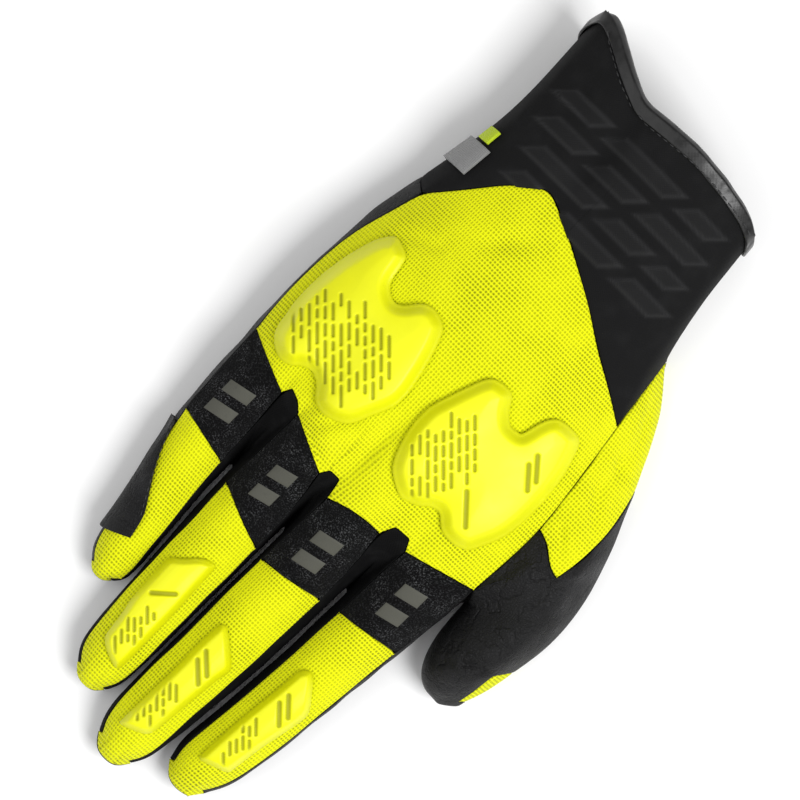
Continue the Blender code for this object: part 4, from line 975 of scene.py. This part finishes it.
def stitch_row(name, paths, tree, paint, thickness=0.24):
    """Rows of short rounded stitches lying on what is below them."""
    pitch = sizes().stitch
    points = []
    faces = []
    sides = STITCH_SIDES
    rings = len(STITCH_SWELL)
    for path in paths:
        marks = evenly(path, pitch)
        for one, two in zip(marks, marks[1:]):
            end = one + (two - one) * STITCH_SHARE
            spots = np.array([one + (end - one) * k / (rings - 1) for k in range(rings)])
            heights = look_down(tree, spots, np.nan)
            if np.isnan(heights).any():
                continue
            if heights.max() - heights.min() > STITCH_DROP * MM:
                continue
            way = (end - one) / np.linalg.norm(end - one)
            side = np.array((-way[1], way[0]))
            start = len(points)
            for k in range(rings):
                swell = STITCH_SWELL[k] * thickness * MM
                sink = STITCH_SINK[k] * thickness * MM
                for s in range(sides):
                    turn = 2.0 * math.pi * s / sides
                    flat = spots[k] + side * math.cos(turn) * swell
                    points.append((flat[0], flat[1],
                                   heights[k] + sink + math.sin(turn) * swell))
            for k in range(rings - 1):
                for s in range(sides):
                    a = start + k * sides + s
                    b = start + k * sides + (s + 1) % sides
                    faces.append((a, b, b + sides, a + sides))
            faces.append(tuple(start + s for s in range(sides))[::-1])
            faces.append(tuple(start + (rings - 1) * sides + s for s in range(sides)))
    mesh = bpy.data.meshes.new(name)
    mesh.from_pydata(points, [], faces)
    mesh.update()
    body = bpy.data.objects.new(name, mesh)
    bpy.context.scene.collection.objects.link(body)
    mesh.polygons.foreach_set("use_smooth", [True] * len(faces))
    return finish_piece(body, paint, None)


def dress(node, levels, wave, depth, seed, place, paint, slot, folds=()):
    """Smooth copy of a cloth node with its folds, crumple, cloth place and paint."""
    body = smooth_copy(node, node + "_cloth", levels)
    press_folds(body, folds)
    crumple(body, wave, depth * MM, seed)
    place(body)
    return finish_piece(body, paint, slot, node)


SKIN = {}


def skin_tree():
    """Tree of all dressed panels, made once."""
    if "tree" not in SKIN:
        names = [name for name in MADE if name.endswith("_cloth")]
        SKIN["tree"] = tree_of([MADE[name] for name in names])
    return SKIN["tree"]


class GLOVE_OT_knit(bpy.types.Operator):
    """Dress the yellow knit panels of the back, fingers and thumb"""
    bl_idname = "glove.knit"
    bl_label = "Knit panels"

    def execute(self, context):
        paint = knit_paint()
        slot = "yellow_knit"
        dress("back_panel", 3, 0.024, 0.22, 3, cloth_flat, paint, slot, BACK_FOLDS)
        for finger in FINGERS:
            dress("back_" + finger, 3, 0.016, 0.22, 7 + len(finger), cloth_round_tube, paint,
                  slot)
        dress("thumb_gusset", 3, 0.014, 0.2, 21, cloth_flat, paint, slot, GUSSET_FOLDS)
        dress("thumb_tip_panel", 3, 0.014, 0.2, 22, cloth_flat, paint, slot)
        return {"FINISHED"}


class GLOVE_OT_bands(bpy.types.Operator):
    """Dress the black looped bands over the lower finger joints"""
    bl_idname = "glove.bands"
    bl_label = "Finger bands"

    def execute(self, context):
        paint = fuzz_paint()
        for finger in FINGERS:
            dress("band_" + finger, 4, 0.007, 0.22, 31 + len(finger), cloth_round_tube, paint,
                  "black_band")
        return {"FINISHED"}


class GLOVE_OT_side_walls(bpy.types.Operator):
    """Dress the black walls between the fingers"""
    bl_idname = "glove.side_walls"
    bl_label = "Side walls"

    def execute(self, context):
        paint = side_paint()
        for pair in ("index_middle", "middle_ring", "ring_pinky"):
            dress("fourchette_" + pair, 3, 0.012, 0.2, 41 + len(pair), cloth_flat, paint,
                  "side_cloth")
        return {"FINISHED"}


class GLOVE_OT_leather(bpy.types.Operator):
    """Dress the leather palm, thumb and little finger patch"""
    bl_idname = "glove.leather"
    bl_label = "Leather panels"

    def execute(self, context):
        paint = leather_paint()
        for node, folds, seed in (("palm", (), 51), ("thumb_shell", THUMB_FOLDS, 52),
                                  ("pinky_patch", (), 53)):
            dress(node, 3, 0.013, 0.26, seed, cloth_flat, paint, "black_leather", folds)
        return {"FINISHED"}


class GLOVE_OT_cuff(bpy.types.Operator):
    """Dress the stretch cuff with its ribs and its glossy binding"""
    bl_idname = "glove.cuff"
    bl_label = "Cuff"

    def execute(self, context):
        body = smooth_copy("cuff", "cuff_cloth", 3)
        refine_ribbed_field(body)
        press_folds(body, CUFF_FOLDS)
        crumple(body, 0.030, 0.25 * MM, 61)
        raise_ribs(body)
        cloth_flat(body)
        finish_piece(body, neoprene_paint(), "neoprene", "cuff")
        dress("cuff_binding", 3, 0.009, 0.12, 62, cloth_flat, binding_paint(), "binding")
        return {"FINISHED"}


class GLOVE_OT_badge(bpy.types.Operator):
    """Dress the plain gray badge and the small green tab"""
    bl_idname = "glove.badge"
    bl_label = "Badge and tab"

    def execute(self, context):
        tint = colours()
        for node, slot, colour, pale in (
                ("cuff_badge", "gray_badge", tint.badge, (0.27, 0.27, 0.27)),
                ("badge_tab", "green_tab", tint.tab, (0.50, 0.62, 0.02))):
            body = smooth_copy(node, node + "_cloth", 3, 0.7)
            cloth_flat(body)
            finish_piece(body, badge_paint(slot, colour, pale), slot, node)
        return {"FINISHED"}


class GLOVE_OT_guards(bpy.types.Operator):
    """Build the moulded guards of the knuckles and fingers"""
    bl_idname = "glove.guards"
    bl_label = "Moulded guards"

    def execute(self, context):
        paint = mould_paint()
        for node in GUARD_DASHES:
            form = KNUCKLE_FORM if node.startswith("knuckle") else FINGER_FORM
            build_guard(node, skin_tree(), form, paint)
        return {"FINISHED"}


BARS = {
    "index": (-46.0, -38.5, 34.5, 49.0),
    "middle": (-18.3, -10.2, 41.0, 55.0),
    "ring": (5.0, 12.0, 36.5, 50.5),
    "pinky": (30.2, 38.8, 28.5, 42.0)}


class GLOVE_OT_prints(bpy.types.Operator):
    """Lay two slanted reflective bars on each finger band"""
    bl_idname = "glove.prints"
    bl_label = "Reflective bars"

    def execute(self, context):
        paint = print_paint()
        for finger, (left, right, low, high) in BARS.items():
            for count, start in enumerate((low, (low + high) / 2.0 + 0.6)):
                top = start + (high - low) / 2.0 - 2.6
                corners = ((left, start), (right, start + 1.8), (right, top + 1.8), (left, top))
                plan_strip(f"bar_{finger}_{count + 1}", corners, skin_tree(), 0.22 * MM,
                           0.4 * MM, paint, None)
        return {"FINISHED"}


BINDING_SEAM = ((-40, -104), (-35, -105.5), (-30, -106), (-20, -107), (-10, -107), (0, -106),
                (6, -105.5), (12, -106), (20, -109), (25, -112), (30, -115), (35, -119))


PATCH_SEAM = ((42.0, 51.9), (39.0, 59.5), (35.5, 66.2), (31.8, 72.8), (28.5, 78.5))


class GLOVE_OT_stitches(bpy.types.Operator):
    """Sew the rows of stitches along the cuff binding and the little finger patch"""
    bl_idname = "glove.stitches"
    bl_label = "Stitches"

    def execute(self, context):
        dark = thread_paint("dark_thread", (0.020, 0.020, 0.021))
        stitch_row("binding_stitches", [BINDING_SEAM], skin_tree(), dark)
        patch = tree_of([MADE["pinky_patch_cloth"]])
        stitch_row("patch_stitches", [PATCH_SEAM], patch, dark, 0.2)
        return {"FINISHED"}


class GLOVE_OT_sheets(bpy.types.Operator):
    bl_idname = "glove.sheets"
    bl_label = "Flat cuts"

    def execute(self, context):
        return {"FINISHED"}


FLOOR_HALF = 1.5
FLOOR_HEIGHT = -0.0003
WORLD_STRENGTH = 0.46
LENS = 200.0
SENSOR = 36.0
AIM_HEIGHT = 0.02
# One lamp a row: name, place, size of its square and power.
LAMPS = (
    ("key_light", (-0.62, -0.05, 0.95), 0.55, 11.0),
    ("fill_light", (0.55, 0.45, 1.1), 1.1, 5.0))


class GLOVE_OT_stage(bpy.types.Operator):
    """Set the pale floor, the soft light and the camera"""
    bl_idname = "glove.stage"
    bl_label = "Stage"

    def execute(self, context):
        scene = context.scene
        mesh = bpy.data.meshes.new("floor")
        corners = ((-1, -1), (1, -1), (1, 1), (-1, 1))
        mesh.from_pydata([(x * FLOOR_HALF, y * FLOOR_HALF, FLOOR_HEIGHT) for x, y in corners],
                         [], [(0, 1, 2, 3)])
        floor = bpy.data.objects.new("floor", mesh)
        scene.collection.objects.link(floor)
        paint = Paint("pale_floor", colours().floor, 0.9, specular_ior_level=0.1)
        mesh.materials.append(paint.material)
        world = scene.world or bpy.data.worlds.new("studio")
        scene.world = world
        world.use_nodes = True
        sky = world.node_tree.nodes["Background"]
        sky.inputs["Color"].default_value = (1, 1, 1, 1)
        sky.inputs["Strength"].default_value = WORLD_STRENGTH
        for name, place, size, power in LAMPS:
            light = bpy.data.lights.new(name, "AREA")
            light.size = size
            light.energy = power
            lamp = bpy.data.objects.new(name, light)
            lamp.location = place
            aim = Vector((0, 0, AIM_HEIGHT)) - Vector(place)
            lamp.rotation_euler = aim.to_track_quat("-Z", "Y").to_euler()
            scene.collection.objects.link(lamp)
        lens = bpy.data.cameras.new("camera")
        lens.lens = LENS
        lens.sensor_width = SENSOR
        lens.clip_end = 10.0
        camera = bpy.data.objects.new("camera", lens)
        camera.location = (0.0, 0.0, AIM_HEIGHT + sizes().picture_width * LENS / SENSOR)
        camera.rotation_euler = (0.0, 0.0, sizes().picture_turn)
        scene.collection.objects.link(camera)
        scene.camera = camera
        scene.view_settings.view_transform = "Standard"
        return {"FINISHED"}


STEPS = (GLOVE_OT_knit, GLOVE_OT_bands, GLOVE_OT_side_walls, GLOVE_OT_leather, GLOVE_OT_cuff,
         GLOVE_OT_badge, GLOVE_OT_guards, GLOVE_OT_prints, GLOVE_OT_stitches, GLOVE_OT_sheets,
         GLOVE_OT_stage)


class GLOVE_PT_panel(bpy.types.Panel):
    """Steps that dress the glove, in order"""
    bl_label = "Riding glove"
    bl_idname = "GLOVE_PT_panel"
    bl_space_type = "VIEW_3D"
    bl_region_type = "UI"
    bl_category = "Glove"

    def draw(self, context):
        for step in STEPS:
            self.layout.operator(step.bl_idname)
        for group in (context.scene.glove_sizes, context.scene.glove_colours):
            for name in group.bl_rna.properties.keys():
                if name not in ("rna_type", "name"):
                    self.layout.prop(group, name)


CLASSES = (GloveSizes, GloveColours, *STEPS, GLOVE_PT_panel)


def register():
    """Adds the settings, the operators and the panel."""
    for kind in CLASSES:
        bpy.utils.register_class(kind)
    bpy.types.Scene.glove_sizes = bpy.props.PointerProperty(type=GloveSizes)
    bpy.types.Scene.glove_colours = bpy.props.PointerProperty(type=GloveColours)


def unregister():
    """Takes out what register adds."""
    del bpy.types.Scene.glove_colours
    del bpy.types.Scene.glove_sizes
    for kind in reversed(CLASSES):
        bpy.utils.unregister_class(kind)


def main():
    """Runs the steps in order."""
    register()
    bpy.ops.glove.knit()
    bpy.ops.glove.bands()
    bpy.ops.glove.side_walls()
    bpy.ops.glove.leather()
    bpy.ops.glove.cuff()
    bpy.ops.glove.badge()
    bpy.ops.glove.guards()
    bpy.ops.glove.prints()
    bpy.ops.glove.stitches()
    bpy.ops.glove.sheets()
    bpy.ops.glove.stage()


if __name__ == "__main__":
    main()
